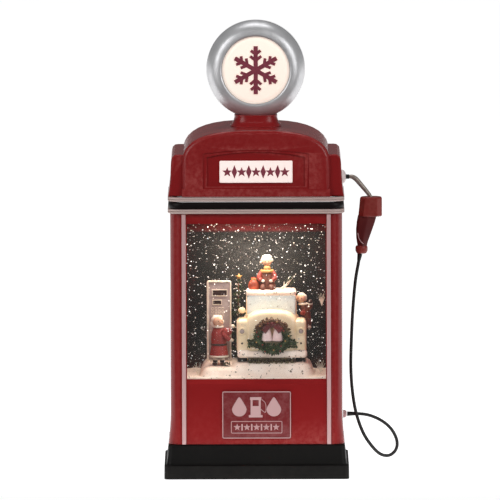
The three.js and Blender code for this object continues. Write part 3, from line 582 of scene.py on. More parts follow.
def painted_resin(name, colour, shade, grain, roughness, speck=None):
    """Hand-painted cast resin: brushed tone, a painted shade that darkens its hollows, with optional dark
    specks.
    """
    m = Nodes(name)
    base = m.ramp(m.noise(120, 5, 0.65), [(0.28, srgb(shade)), (0.62, srgb(colour))])
    if speck:
        base = m.mix(m.span_map(m.noise(grain, 2), 0, 1, 0.64, 0.68), base, srgb(speck))
    # Painted shade: hollows are darkened towards the shade colour.
    hollow_shade = m.span_map(m.geometry("Pointiness"), 0.55, 0, 0.42, 0.5)
    tone = m.mix(hollow_shade, base, srgb(shade))
    return m.surface(tone, (300, 3, roughness - 0.1, roughness + 0.1), (grain, 4, 0.35), 0.3)


def plain_metal(name, colour, shade, roughness):
    m = Nodes(name)
    m.set(Metallic=0.95)
    return m.surface(m.tone(300, 5, shade, colour), (800, 4, roughness - 0.08, roughness + 0.12),
                     (1500, 2, 0.1))


def striped(name, first, second, pitch):
    """Level painted stripes, such as on stockings."""
    m = Nodes(name)
    wave = m.calc("PINGPONG", m.axes()["Z"], pitch / 2)
    stripes = m.span_map(wave, 0, 1, pitch * 0.22, pitch * 0.28)
    return m.surface(m.mix(stripes, srgb(first), srgb(second)), (300, 3, 0.45, 0.6), (900, 3, 0.3))


def leaf_paint(name, z_low, z_high):
    """Leaves that turn from green to brown with height."""
    m = Nodes(name)
    height = m.span_map(m.axes()["Z"], 0, 1, z_low * MM, z_high * MM)
    green = m.ramp(m.noise(900, 3), [(0.3, srgb("1c2414")), (0.55, srgb("3a4a24")), (0.8, srgb("6a6e3c"))])
    brown = m.ramp(m.noise(900, 3), [(0.3, srgb("381c10")), (0.6, srgb("6e4526")), (0.85, srgb("a06038"))])
    return m.surface(m.mix(height, green, brown), (500, 3, 0.4, 0.65), (1200, 3, 0.3))


# Paints of the cast scene: colour, shade, grain, roughness, and specks where there are any.
RESINS = {
    "cream": ("fbe6c4", "ecd0a6", 500, 0.4),
    "snow": ("ffeee0", "f2d9c6", 520, 0.65, "6a5648"),
    "glass": ("e6ecea", "ccd8da", 600, 0.3, "77706a"),
    "tyre": ("262320", "121110", 600, 0.6),
    "red": ("9c3a2a", "64241b", 500, 0.5),
    "sack": ("b4502c", "7a2e1c", 500, 0.5),
    "moss": ("8a7c5a", "4a4028", 900, 0.7),
    "dress": ("a83830", "74241f", 500, 0.5),
    "bow": ("6c1f20", "3c1214", 500, 0.5),
    "brown": ("74402e", "4a241a", 500, 0.5),
    "skin": ("e6b898", "c48c70", 300, 0.5),
    "white": ("f2e6d6", "cdb9a2", 900, 0.7),
    "gold": ("d6a460", "9c6a36", 600, 0.4),
    "green": ("3d4a28", "232c18", 700, 0.6),
    "grey": ("b8a6a2", "98867f", 500, 0.5),
    "dark": ("4e2e24", "2c1812", 600, 0.5),
    "pink": ("f0d6d2", "d4aeaa", 400, 0.45),
}


def paints():
    """The paints of the cast scene, by what they cover."""
    made = {name: painted_resin("paint_" + name, *look) for name, look in RESINS.items()}
    made["socks"] = striped("paint_socks", "e8dccb", "241e1c", 0.0026)
    made["wreath"] = leaf_paint("paint_wreath", 93, 98)
    return made


# ---- hose

HOSE_RADIUS = 1.05
HOSE_ROUTE = [
    (67.4, 0, 142), (66.6, 0, 137), (64.6, -0.4, 125.6), (62.8, -1, 106.3), (61.8, -1.8, 87.1),
    (61.4, -2.3, 67.8), (62.4, -2.6, 52.4), (64.8, -2.6, 38.3), (69.2, -2.2, 25.6), (74, -1.6, 17.8),
    (79, -0.8, 12.3), (82.4, -0.2, 10.4), (86.2, 0.3, 10.2), (89.4, 0.8, 12.2), (91.2, 1.1, 15.4),
    (91.4, 1.3, 19), (90.2, 1.5, 23), (87.4, 1.6, 27.6), (83.4, 1.6, 31.4), (78.4, 1.6, 34.4),
    (72.4, 1.6, 36.6), (66.1, 1.6, 37.4), (58.9, 1.6, 37.4),
]


def sleeve(name, path, start_radius, body, material):
    """Tapered strain relief over the end of the hose."""
    def taper(share):
        return start_radius + (HOSE_RADIUS + 0.15 - start_radius) * share
    return make(name, tube(path, taper, 20), material, body)


def make_hose(material):
    """Hose from the nozzle's collar, round its low loop, to the socket, with a sleeve over each end."""
    path = smooth_path(HOSE_ROUTE)
    bm = tube(path, HOSE_RADIUS, 16)
    hose = make("fuel_hose", bm, material, body=None, replaces=["hose"])
    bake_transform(hose)
    reliefs = [
        sleeve("hose_sleeve_nozzle", path[:6], 1.7, "nozzle", material),
        sleeve("hose_sleeve_socket", path[:-7:-1], 1.5, "housing", material),
    ]
    metres = [p * MM for p in path]
    length = sum((b - a).length for a, b in zip(metres, metres[1:]))
    metres[0]


# ---- housing

def finish_all(nodes, material, width):
    for node in nodes:
        cad_finish(node, material, width)


def finish_housing(red):
    """Shells, covers, base and screws."""
    for node, width in (("body_shell", 0.7), ("hood", 0.8), ("rear_cover", 0.5)):
        cad_finish(node, red, width, 3)
    black_nodes = ["base_plinth", "base_plate", "battery_box", "battery_door", "switch_body",
                   "switch_slider"]
    finish_all(black_nodes, moulded("black_plastic"), 0.4)
    screws = [f"{place}_screw_{number}" for place in ("base", "rear") for number in range(1, 5)]
    finish_all(screws, plain_metal("screw_steel", "b8b4ae", "8a8680", 0.35), 0.15)
    white_nodes = ["tank_floor", "impeller", "impeller_cover", "motor_bracket"]
    finish_all(white_nodes, moulded("white_plastic"), 0.2)


def finish_works():
    """Parts behind the covers: motor, magnet, cells, contacts, boards and seals."""
    cells = [f"battery_cell_{number}" for number in range(1, 4)]
    finish_all(cells, plain_metal("cell_jacket", "c9c6c0", "8f8c86", 0.3), 0.3)
    steel = plain_metal("motor_steel", "b2b0ac", "86847f", 0.4)
    finish_all(["motor", "contact_strip_front", "contact_strip_rear"], steel, 0.15)
    cad_finish("magnet_rotor", plain_metal("magnet_dark", "4a4a4c", "2e2e30", 0.5), 0.2)
    board = painted_resin("board_green", "2c5a3a", "1f4429", 500, 0.4)
    finish_all(["circuit_board", "tank_light_board"], board, 0.15)
    seal = rubber("seal_rubber")
    cad_finish("tank_gasket", seal, 0.1)
    cad_finish("fill_plug", seal, 0.2)
    cad_finish("globe_led", lit_face("led_lens", "fff0d8", "ffe6c4", 1.5), 0)


BELT_CORNER = 8
BEAD_STEPS = 6


def trim_hoop(name, node, beads, material):
    """Moulding around the body: rounded beads that stand out one above the other."""
    low, high = span(node)
    height = (high.z - low.z) / beads
    bulge = min(height * 0.6, 0.85)

    def ring(out, z):
        outline = rounded_outline(high.x - bulge + out, high.y - bulge + out, BELT_CORNER, 10)
        return [(x, y, z) for x, y in outline]

    rings = []
    for bead in range(beads):
        for step in range(BEAD_STEPS + 1):
            angle = (step / BEAD_STEPS - 0.5) * math.pi
            z = low.z + height * (bead + 0.5 + math.sin(angle) / 2)
            rings.append(ring(bulge * math.cos(angle), z))
    rings += [ring(-1.5, high.z), ring(-1.5, low.z)]
    make(name, hoop(rings), material, replaces=[node])


def make_belts():
    """Two silver double beads with a black bead between them."""
    silver = silver_paint("belt_silver")
    trim_hoop("belt_beads_lower", "belt_trim_lower", 2, silver)
    trim_hoop("belt_beads_upper", "belt_trim_upper", 2, silver)
    trim_hoop("belt_groove", "belt_band", 1, moulded("belt_black"))


def drop_outline(x, z, size):
    """Fuel drop: a round foot drawn up to a point."""
    points = []
    for cos, rise in circle(24):
        pinch = 1 - 0.55 * max(rise, 0) ** 1.5
        lift = 0.5 * rise + 0.32 * max(rise, 0) ** 2
        points.append((x + 0.5 * size * cos * pinch, z + size * lift))
    return points


def star_outline(x, z, size, tips=5, waist=0.42):
    """Star of the given size from tip to tip; two tips make a diamond."""
    points = []
    for step in range(2 * tips):
        angle = math.pi / 2 + step / (2 * tips) * math.tau
        reach = size / 2 * (1 if step % 2 == 0 else waist)
        points.append((x + reach * math.cos(angle), z + reach * math.sin(angle)))
    return points


def bar_outline(x, z, width, height):
    return [(x - width / 2, z - height / 2), (x + width / 2, z - height / 2),
            (x + width / 2, z + height / 2), (x - width / 2, z + height / 2)]


def pump_icon(x, z, height, y_front, y_back, bm):
    """Small picture of a pump: foot, cabinet, cap, the sides of its window, and a hose."""
    width = height * 0.5
    for aside, up, wide, tall in (
        (0, -0.44, 1.35, 0.12), (0, -0.16, 1, 0.44), (0, 0.43, 1.1, 0.14),
        (-0.4, 0.21, 0.2, 0.3), (0.4, 0.21, 0.2, 0.3),
    ):
        bar = bar_outline(x + aside * width, z + up * height, wide * width, tall * height)
        prism_y(bar, y_back, y_front, bm)
    middle_y = (y_front + y_back) / 2
    hose = [(x + aside * width, middle_y, z + up * height)
            for aside, up in ((0.5, -0.1), (0.95, -0.25), (0.95, 0.2), (0.6, 0.38))]
    tube(smooth_path(hose, 5), abs(y_front - y_back) / 2, 8, bm)


STAR_PITCH = 6.3  # between the stars of the plaque's strip


def make_plaque(silver):
    """Raised plate on the cabinet front: border, fuel drops and a pump, and a strip of stars below."""
    low, high = span("front_plaque")
    plate = rounded_block((low.x, high.y - 0.45, low.z), (high.x, high.y, high.z), 0.2, 2)
    make("plaque_plate", plate, moulded("plaque_paint"), replaces=["front_plaque"])
    y_front, y_back = low.y + 0.05, high.y - 0.3
    half_height = (high.z - low.z) / 2
    bm = frame_band((0, low.z + half_height), high.x, half_height, 0.6, low.y, y_back, 1.2)
    strip_z, icon_z = low.z + 7.3, low.z + 20.3
    frame_band((0, strip_z), 16.6, 4, 0.45, low.y + 0.1, y_back, 0.8, bm)
    for side in (-1, 1):
        prism_y(drop_outline(side * 11.2, icon_z - 1.2, 9.5), y_back, y_front, bm)
    pump_icon(-0.6, icon_z, 13.2, y_front, y_back, bm)
    for number in range(-2, 3):
        prism_y(star_outline(number * STAR_PITCH, strip_z, 4.8), y_back, y_front, bm)
    for number in range(-2, 2):
        prism_y(bar_outline((number + 0.5) * STAR_PITCH, strip_z, 0.9, 4.2), y_back, y_front, bm)
    soft_edges(make("plaque_relief", bm, silver), 0.12, 2)


SIGN_PITCH = 4.65  # between the marks of the sign


def make_sign():
    """Cream sign on the hood with a row of stars and diamonds."""
    low, high = span("sign_plate")
    cream = lit_face("sign_cream", "ffeee8", "fbe4de", 0.33)
    plate = rounded_block((low.x, low.y + 0.25, low.z), (high.x, high.y, high.z), 0.7, 3)
    make("sign_panel", plate, cream, replaces=["sign_plate"])
    middle_z = middle("sign_plate").z
    bm = bmesh.new()
    for number in range(-4, 5):
        x = number * SIGN_PITCH
        if number % 2:
            mark = star_outline(x, middle_z, 8.8, tips=2, waist=0.4)
        else:
            mark = star_outline(x, middle_z - 0.2, 6.8)
        prism_y(mark, low.y + 0.4, low.y + 0.1, bm)
    make("sign_marks", bm, printed_red(), smooth=False)


def trim_front(silver):
    """Silver strips down the cabinet's front corners."""
    for side in ("left", "right"):
        cad_finish("corner_strip_" + side, silver, 0.35, 3)


# ---- neck and globe

NECK_SQUARENESS = 3.2  # 2 is an ellipse, more is nearer to a rectangle
NECK_LEVELS = 16
NECK_TUCK = 2  # how far the top stays below the CAD's, inside the ring


def superellipse(half_width, half_depth):
    """Plan outline between an ellipse and a rectangle."""
    power = 2 / NECK_SQUARENESS
    return [(math.copysign(half_width * abs(cos) ** power, cos),
             math.copysign(half_depth * abs(sin) ** power, sin)) for cos, sin in circle(64)]


def make_neck(red):
    """Flared neck between the roof and the globe: its sides sweep in and its top edge is crisp."""
    low, high = span("neck_collar")
    flare_x, flare_y = 2.9, 2.4
    levels = []
    for step in range(NECK_LEVELS + 1):
        share = step / NECK_LEVELS
        drawn_in = 1 - (1 - share) ** 2.6
        outline = superellipse(high.x - flare_x * drawn_in, high.y - flare_y * drawn_in)
        levels.append((low.z + (high.z - NECK_TUCK - low.z) * share, outline))
    neck = make("neck_flare", level_loft(levels), red, replaces=["neck_collar"])
    soft_edges(neck, 0.35, 3, 50)


def turned_ring(profile, matrix, segments):
    """Closed ring: a closed profile of (radius, height) turned about an axis."""
    turns = circle(segments)
    return hoop([[matrix @ Vector((r * c, r * s, h)) for c, s in turns] for r, h in profile])


GLOBE_RIM_STEPS = 32
FACE_INSET = 1.6  # from the ring's front edge to the edge of the face


def make_globe():
    """Round ring with a domed lit face and a snowflake at its front and its rear."""
    low, high = span("globe_ring")
    outer = (high.x - low.x) / 2
    half_depth = (high.y - low.y) / 2
    centre = Vector((0, (low.y + high.y) / 2, high.z - outer))
    face_low, face_high = span("globe_face_front")
    face_radius = (face_high.x - face_low.x) / 2 + 0.15
    matrix = Matrix.Translation(centre) @ Matrix.Rotation(math.pi / 2, 4, "X")
    make_globe_rim(outer, half_depth, face_radius, matrix)
    cream = lit_face("face_cream", "fff0e2", "ffeadc", 0.4)
    red = printed_red()
    edge = half_depth - FACE_INSET
    dome = [(0, edge + 0.7), (face_radius * 0.5, edge + 0.55), (face_radius * 0.85, edge + 0.2),
            (face_radius - 0.1, edge - 0.1), (face_radius - 0.1, edge - 1.6), (0, edge - 1.6)]
    for side, place in ((-1, "front"), (1, "rear")):
        turn = matrix if side < 0 else matrix @ Matrix.Rotation(math.pi, 4, "X")
        make("globe_lens_" + place, lathe(dome, 72, turn), cream,
             replaces=["globe_face_" + place])
        emblem = snowflake(centre, side, half_depth - 0.75)
        make("globe_emblem_" + place, emblem, red, smooth=False)


def make_globe_rim(outer, half_depth, face_radius, matrix):
    """Silver ring, round in section, with a lip that holds each face."""
    profile = []
    for step in range(GLOBE_RIM_STEPS + 1):
        angle = math.pi * (step / GLOBE_RIM_STEPS - 0.5)
        reach = (outer - face_radius) * math.cos(angle) ** 0.85
        profile.append((face_radius + reach, half_depth * math.sin(angle)))
    lip = [(face_radius, half_depth - 1.2), (face_radius - 0.4, half_depth - FACE_INSET)]
    profile += lip + [(r, -h) for r, h in reversed(lip)]
    rim = turned_ring(profile, matrix, 96)
    make("globe_rim", rim, globe_silver(), replaces=["globe_ring"])


FLAKE_REACH = 15.6
FLAKE_TWIGS = ((6.2, 4.8), (10.2, 4.2))  # place along the arm, length
FLAKE_LIFT = 0.02  # keeps crossing bars apart


def snowflake(centre, side, depth):
    """Six-armed flake that stands just off the lens. Bars that cross lie one above the other."""
    bm = bmesh.new()
    for arm in range(6):
        angle = arm * math.pi / 3 + math.pi / 6
        along = Vector((math.cos(angle), 0, math.sin(angle)))
        across = Vector((-along.z, 0, along.x))
        if arm < 3:
            end = along * FLAKE_REACH
            flake_bar(bm, centre, -end, end, 1.4, side, depth + FLAKE_LIFT * arm)
        for reach, length in FLAKE_TWIGS:
            for hand in (-1, 1):
                tip = along * (reach + length * 0.62) + across * hand * length * 0.75
                lift = 0.07 + FLAKE_LIFT * (hand + 1)
                flake_bar(bm, centre, along * reach, tip, 0.95, side, depth + lift)
    return bm


def flake_bar(bm, centre, start, end, half_width, side, depth):
    """One bar of the flake, between two points given from the flake's middle."""
    direction = (end - start).normalized()
    wide = Vector((-direction.z, 0, direction.x)) * half_width
    corners = [start - wide, end - wide, end + wide, start + wide]
    outline = [(centre.x + p.x, centre.z + p.z) for p in corners]
    prism_y(outline, side * (depth - 0.4), side * (depth + 0.15), bm)


# ---- nozzle

def make_nozzle(red, silver, dark_rubber):
    """Nozzle hung in its boss: head, grip, collar, guard wire and bent spout."""
    make_head(red)
    make_grip()
    make_collar(red)
    guard = smooth_path([(66, -4.2, 156), (66.8, -4.7, 152.6), (68.2, -4.8, 150.4), (69.6, -4.4, 149)], 5)
    make("nozzle_guard", tube(guard, 0.28, 8), silver, "nozzle")
    hole_z = middle("nozzle_boss").z
    make_spout(hole_z)
    cad_finish("spout_tip", dark_rubber, 0.3)
    cad_finish("hose_socket", silver, 0.2)
    make_boss(hole_z)


def make_head(red):
    """Block at the nozzle's top, with cut corners."""
    low, high = span("nozzle_body")
    x_low = low.x + 1.9
    levels = [(z, chamfered(x_low - (high.z - z) * 0.1, high.x, high.y, 3.1, inset)) for z, inset in (
        (166.6, 1), (167, 0.3), (167.6, 0), (high.z - 1.2, 0), (high.z - 0.5, 0.3), (high.z, 1.1),
    )]
    block = make("nozzle_head", level_loft(levels), red, "nozzle", ["nozzle_body"])
    soft_edges(block, 0.35, 3)


def make_grip():
    """Tapering grip; each level gives its left, right and half depth."""
    levels = [(z, ridged(left, right, half)) for z, left, right, half in (
        (146.8, 66, 71.9, 3.6), (150, 65.4, 72.6, 3.9), (153, 65, 73.7, 4.1),
        (158, 64.9, 75.5, 4.3), (163, 65.4, 77.2, 4.6), (167.4, 66.2, 78.4, 4.8),
    )]
    grip = make("nozzle_grip", level_loft(levels), moulded("grip_plastic"), "nozzle")
    soft_edges(grip, 0.5, 3)


def make_collar(red):
    """Turned collar between the grip and the hose."""
    low, high = span("nozzle_ferrule")
    centre = middle("nozzle_ferrule")
    profile = [(0, low.z), (2.6, low.z), (3.4, low.z + 0.6), (4, low.z + 2), (4, high.z - 1.2),
               (3.6, high.z - 0.2), (0, high.z - 0.2)]
    turned = lathe(profile, 40, Matrix.Translation((centre.x, centre.y, 0)))
    soft_edges(make("nozzle_collar", turned, red, "nozzle", ["nozzle_ferrule"]), 0.3, 3)


def make_spout(hole_z):
    """Bent pipe from the boss down into the head, thickest at its middle."""
    start = span("nozzle_spout")[0].x
    route = [(start - 0.25, 0, hole_z), (start + 1.6, 0, hole_z - 0.1), (64.6, 0, 191.2),
             (67.6, 0, 187.9), (73.3, 0, 181), (75.2, 0, 178.4)]

    def swelling(share):
        return 1.15 + 0.45 * math.sin(math.pi * min(share * 1.1, 1))

    pipe = tube(smooth_path(route, 8), swelling, 24)
    make("spout_pipe", pipe, spout_metal(), "nozzle", ["nozzle_spout"])


def make_boss(hole_z):
    """Round boss that bulges from the hood's side around the nozzle's hole."""
    low, high = span("nozzle_boss")
    hole = 1.85
    profile = [(hole, low.x - 2), (4.6, low.x - 2), (4.5, low.x), (4.1, low.x + 0.7), (3.4, low.x + 1.3),
               (2.6, high.x - 0.2), (hole + 0.2, high.x), (hole, high.x - 0.2)]
    matrix = Matrix.Translation((0, 0, hole_z)) @ Matrix.Rotation(math.pi / 2, 4, "Y")
    ring = turned_ring(profile, matrix, 48)
    make("hood_boss", ring, silver_paint("boss_silver"), replaces=["nozzle_boss"])


def chamfered(x_low, x_high, half_depth, cut, inset):
    """Plan outline with cut corners, drawn in by an inset."""
    x_low, x_high, half_depth = x_low + inset, x_high - inset, half_depth - inset
    return [
        (x_low + cut, -half_depth), (x_high - cut, -half_depth), (x_high, -half_depth + cut),
        (x_high, half_depth - cut), (x_high - cut, half_depth), (x_low + cut, half_depth),
        (x_low, half_depth - cut), (x_low, -half_depth + cut),
    ]


def ridged(left, right, half_depth):
    """Grip section: a ridge down the front and back, slanting away to both sides."""
    ridge = left + (right - left) * 0.55
    return [
        (left, -half_depth * 0.35), (left + 1.2, -half_depth * 0.8),
        (ridge, -half_depth), (right, -half_depth * 0.45),
        (right, half_depth * 0.45), (ridge, half_depth),
        (left + 1.2, half_depth * 0.8), (left, half_depth * 0.35),
    ]


# ---- water tank and its scene

class Casting:
    """One cast piece, its shapes gathered by paint and placed from its own origin."""

    def __init__(self, name, paint, slot, replaces=(), origin=(0, 0, 0)):
        self.name, self.paint, self.slot, self.replaces = name, paint, slot, replaces
        self.origin = Vector(origin)
        self.meshes = {}

    def __getitem__(self, colour):
        return self.meshes.setdefault(colour, bmesh.new())

    def at(self, place):
        return self.origin + Vector(place)

    def ball(self, colour, place, radii, segments=12):
        ball(self.at(place), radii, segments, self[colour])

    def block(self, colour, low, high, radius, steps):
        rounded_block(self.at(low), self.at(high), radius, steps, self[colour])

    def limb(self, colour, points, start, end, sides=14):
        limb([self.at(p) for p in points], start, end, self[colour], sides)

    def turned(self, colour, place, profile, segments=32, turn=Matrix.Identity(4)):
        return lathe(profile, segments, Matrix.Translation(self.at(place)) @ turn, self[colour])

    def finish(self):
        for number, (colour, bm) in enumerate(self.meshes.items()):
            stood_for = self.replaces if number == 0 else ()
            make(f"{self.name}_{colour}", bm, self.paint[colour], replaces=stood_for)


def mound_height(x, y, low, high, top, base, edge):
    """Height of a flat mound whose sides fall away along quarter circles."""
    aside = max(0, 1 - (x - low[0]) / edge, 1 - (high[0] - x) / edge)
    along = max(0, 1 - (y - low[1]) / edge, 1 - (high[1] - y) / edge)
    away = math.hypot(aside, along)
    return base + (top - base) * math.sqrt(max(0, 1 - away * away))


SNOW_REACH = 45.5
SNOW_FRONT, SNOW_BACK = -34.5, 22
SNOW_COLUMNS, SNOW_ROWS = 110, 70


def snow_height(x, y, low, high):
    """Ground that drifts a little, with a raised bank under the truck and a lower one to its left."""
    base, top = low.z + 2, high.z - 0.8
    right = mound_height(x, y, (-17, low.y + 1), (37, high.y), top, base, 7)
    left_top = top - 2.6 + 2 * min(1, max(0, (y + 14) / 8))
    left = mound_height(x, y, (-36, low.y + 0.5), (-2, high.y), left_top, base, 6)
    drift = 1.1 * noise.noise(Vector((x * 0.16, y * 0.16, 3)))
    fine = 0.25 * noise.noise(Vector((x * 0.8, y * 0.8, 9)))
    return max(left, right, base + drift) + fine


def make_snow(paint):
    """Solid sheet of snow: a fine grid on top, with its rim drawn down to a flat foot."""
    low, high = span("snow_ground")
    bm = bmesh.new()
    grid = []
    for row in range(SNOW_ROWS + 1):
        y = SNOW_FRONT + (SNOW_BACK - SNOW_FRONT) * row / SNOW_ROWS
        places = [SNOW_REACH * (2 * column / SNOW_COLUMNS - 1) for column in range(SNOW_COLUMNS + 1)]
        grid.append([bm.verts.new((x, y, snow_height(x, y, low, high))) for x in places])
    for lower, upper in zip(grid, grid[1:]):
        for i in range(SNOW_COLUMNS):
            bm.faces.new((lower[i], lower[i + 1], upper[i + 1], upper[i]))
    right_side = [line[-1] for line in grid[1:]]
    left_side = [line[0] for line in grid[-2:0:-1]]
    rim = grid[0] + right_side + grid[-1][-2::-1] + left_side
    foot = [bm.verts.new((v.co.x, v.co.y, low.z + 0.1)) for v in rim]
    skin(bm, [foot, rim])
    bm.faces.new(foot)
    make("snow_drifts", bm, paint["snow"], replaces=["snow_ground"])


ARCH_STEPS = 20


def arch_section(centre_x, half_width, foot, shoulder, crown, inset, y):
    """Upright section with straight sides and an arched top."""
    points = [(centre_x + half_width - inset, y, foot)]
    for step in range(ARCH_STEPS + 1):
        angle = step / ARCH_STEPS * math.pi
        reach = math.copysign(abs(math.cos(angle)) ** 0.8, math.cos(angle))
        points.append((centre_x + (half_width - inset) * reach, y,
                       shoulder + (crown - inset - shoulder) * math.sin(angle) ** 0.8))
    points.append((centre_x - half_width + inset, y, foot))
    return points


AXLE = Matrix.Rotation(math.pi / 2, 4, "Y")
LAMP_AXIS = Matrix.Rotation(math.pi / 2, 4, "X")
CAB_HALF = 16.4
NOSE_SECTIONS = ((-11, 0), (-24, 0), (-26, 0.5), (-27.2, 1.6), (-27.8, 3.4))  # y, inset


def wheel(truck, place, radius, width):
    """Tyre with a round shoulder."""
    half = [(0, 0.6), (radius * 0.5, 0.4), (radius * 0.62, 0), (radius * 0.9, 0), (radius, 1)]
    profile = [(r, inset - width / 2) for r, inset in half]
    profile += [(r, width / 2 - inset) for r, inset in reversed(half)]
    truck.turned("tyre", place, profile, turn=AXLE)


def make_truck(paint):
    """Snowed-in pickup: cab, round nose, two wings with lamps, bumper, wheels and a load bed."""
    low, high = span("truck")
    truck = Casting("truck", paint, "scene_cream", ["truck"], ((low.x + high.x) / 2 - 0.4, 0, low.z))
    x, ground = truck.origin.x, low.z
    top = high.z - ground
    truck.block("cream", (-CAB_HALF, -12.5, 12), (CAB_HALF, 5, top - 3.6), 2.6, 5)
    loft([arch_section(x, CAB_HALF, ground + 4, ground + 24.4, ground + 32.8, inset, y)
          for y, inset in NOSE_SECTIONS], truck["cream"])
    for side in (-1, 1):
        make_wing(truck, side)
        truck.block("cream", (side * 8.2 - 9.6, 3, 8), (side * 8.2 + 9.6, high.y - 0.2, 27), 2, 4)
        for y in (-17, 7):
            wheel(truck, (side * 19, y, 5), 6.4, 6.4)
    truck.ball("cream", (-19.2, -13, 31.8), (2.4, 1.5, 2), 20)
    truck.limb("cream", [(-17.6, -12.6, 31.2), (-15.8, -11.6, 30.8)], 0.6, 0.6, 12)
    truck.block("glass", (-15.8, -13.4, 27), (15.8, -11, 41.8), 1, 4)
    truck.block("snow", (-CAB_HALF, -13.8, top - 4.2), (16.2, 6, top - 0.3), 1.9, 5)
    truck.block("snow", (low.x + 0.2 - x, low.y + 0.4, 2.1), (high.x - 0.2 - x, -22, 7.4), 2.2, 5)
    truck.block("dark", (-15, -24, -1.4), (15, -8, 3.4), 1, 3)
    sprigs = [truck.at(p) for p in ((-14.5, -26.4, 0.4), (0, -27, 0.2), (14.5, -26.4, 0.4))]
    tufts(smooth_path(sprigs, 12), 1.4, 320, 1.8, 1, truck["moss"])
    truck.finish()


def make_wing(truck, side):
    """Front wing with its lamp and a small marker below."""
    truck.block("cream", (side * 18.4 - 4.2, -26.8, 5), (side * 18.4 + 4.2, -4, 26.8), 2.6, 5)
    lamp = (side * 19.1, -26.8, 19.4)
    rim = [(0, 0.9), (1, 0.8), (1.5, 0.3), (1.8, 0.9), (2.3, 1.1), (2.6, 0.6), (2.6, -0.6), (0, -0.6)]
    truck.turned("cream", lamp, rim, turn=LAMP_AXIS)
    truck.turned("grey", lamp, [(0, 1.2), (0.9, 1), (1.5, 0.5), (0, 0.4)], 24, LAMP_AXIS)
    truck.ball("dark", (side * 19.1, -26.7, 11.6), (0.7, 0.5, 0.7))


WREATH_RADIUS = 9.5
GARLAND = (
    (-15.6, 2.4, -4.9), (-10, 1.4, -5), (-5, -0.2, -7), (5, -0.2, -7), (10, 1.4, -5), (15.6, 2.4, -4.9),
)
BELL = [(0, -0.2), (3.5, 0), (3.8, 0.7), (3.2, 3.2), (2.6, 6.4), (1.5, 8.8), (0, 9.8)]


def make_wreath(paint):
    """Wreath on the truck's nose, with a garland below, berries, a bow and two bells."""
    wreath = Casting("wreath", paint, "scene_green", ["wreath"], middle("wreath") + Vector((0, 0.6, 0)))
    around = ring_path(wreath.origin, WREATH_RADIUS, 48, upright=True)
    garland = smooth_path([wreath.at(p) for p in GARLAND], 8)
    leaves = wreath["wreath"]
    for path, thickness, sides, spread, count in (
        (around, 1.9, 14, 2.6, 620), (garland, 1.2, 10, 2.2, 380),
    ):
        tube(path, thickness, sides, leaves)
        tufts(path, spread, count, 2.1, 1.1, leaves)
    for number in range(16):
        angle = number / 16 * math.tau + rng.uniform(-0.15, 0.15)
        reach = 9.3 + rng.uniform(-1.6, 1.6)
        berry = (reach * math.cos(angle), -2.6, reach * math.sin(angle))
        wreath.ball("red" if number % 3 else "gold", berry, (0.55, 0.55, 0.55), 10)
    for side in (-1, 1):
        tail = [(side * 0.6, -1.6, 8.4), (side * 3.4, -2.2, 6.4), (side * 6, -1.8, 3.4)]
        ribbon(smooth_path([wreath.at(p) for p in tail], 5), 3.4, 4.6, 0.6, wreath["bow"])
        wreath.turned("pink", (side * 3.6, 1, -2.9), BELL, 28)
    wreath.ball("bow", (0, -2.2, 8.4), (1.5, 1, 1.2), 16)
    wreath.finish()


def ribbon(path, width_start, width_end, thickness, bm):
    """Flat band that faces the front and widens along its path."""
    rings = []
    for i, point in enumerate(path):
        forward = heading(path, i)
        wide = Vector((-forward.z, 0, forward.x)).normalized()
        half = (width_start + (width_end - width_start) * i / (len(path) - 1)) / 2
        deep = Vector((0, thickness / 2, 0))
        rings.append([point - wide * half - deep, point + wide * half - deep,
                      point + wide * half + deep, point - wide * half + deep])
    return loft(rings, bm)


def make_mini_pump(paint):
    """Small pump beside the truck: white-edged slab, two display windows and a grid of buttons."""
    low, high = span("mini_pump")
    pump = Casting("mini_pump", paint, "scene_grey", ["mini_pump"])
    ground = span("snow_ground")[1].z - 2
    slab_low, slab_high = (low.x + 0.3, low.y + 0.8, ground), (high.x - 0.3, high.y, high.z - 0.8)
    rounded_block(slab_low, slab_high, 1, 4, pump["grey"])
    centre_x = (low.x + high.x) / 2
    middle_z = (high.z + ground) / 2
    frame_band((centre_x, middle_z), (high.x - low.x) / 2, (high.z - ground) / 2, 1.1,
               low.y + 0.1, low.y + 2, 1.4, pump["white"])
    for dx, z, half_width, half_height in ((0.4, high.z - 8, 4.7, 1.8), (-1.2, high.z - 14.2, 2.7, 1.3)):
        x = centre_x + dx
        frame_band((x, z), half_width + 0.4, half_height + 0.4, 0.5, low.y + 0.3, low.y + 1.2, 0.3,
                   pump["white"])
        rounded_block((x - half_width, low.y + 0.6, z - half_height),
                      (x + half_width, low.y + 1.4, z + half_height), 0.3, 2, pump["dark"])
    for row in range(3):
        for column in range(4):
            x, z = centre_x - 4.2 + column * 2.2, high.z - 18.2 - row * 2.1
            frame_band((x, z), 0.8, 0.75, 0.28, low.y + 0.4, low.y + 1, 0.2, pump["white"])
    for number in range(4):
        x = low.x + 3 + number * 3.4
        ball((x, low.y + 3, high.z - 0.9 - 0.3 * (number % 2)), (2.4, 2.6, 0.8), 14, pump["snow"])
    pump.finish()


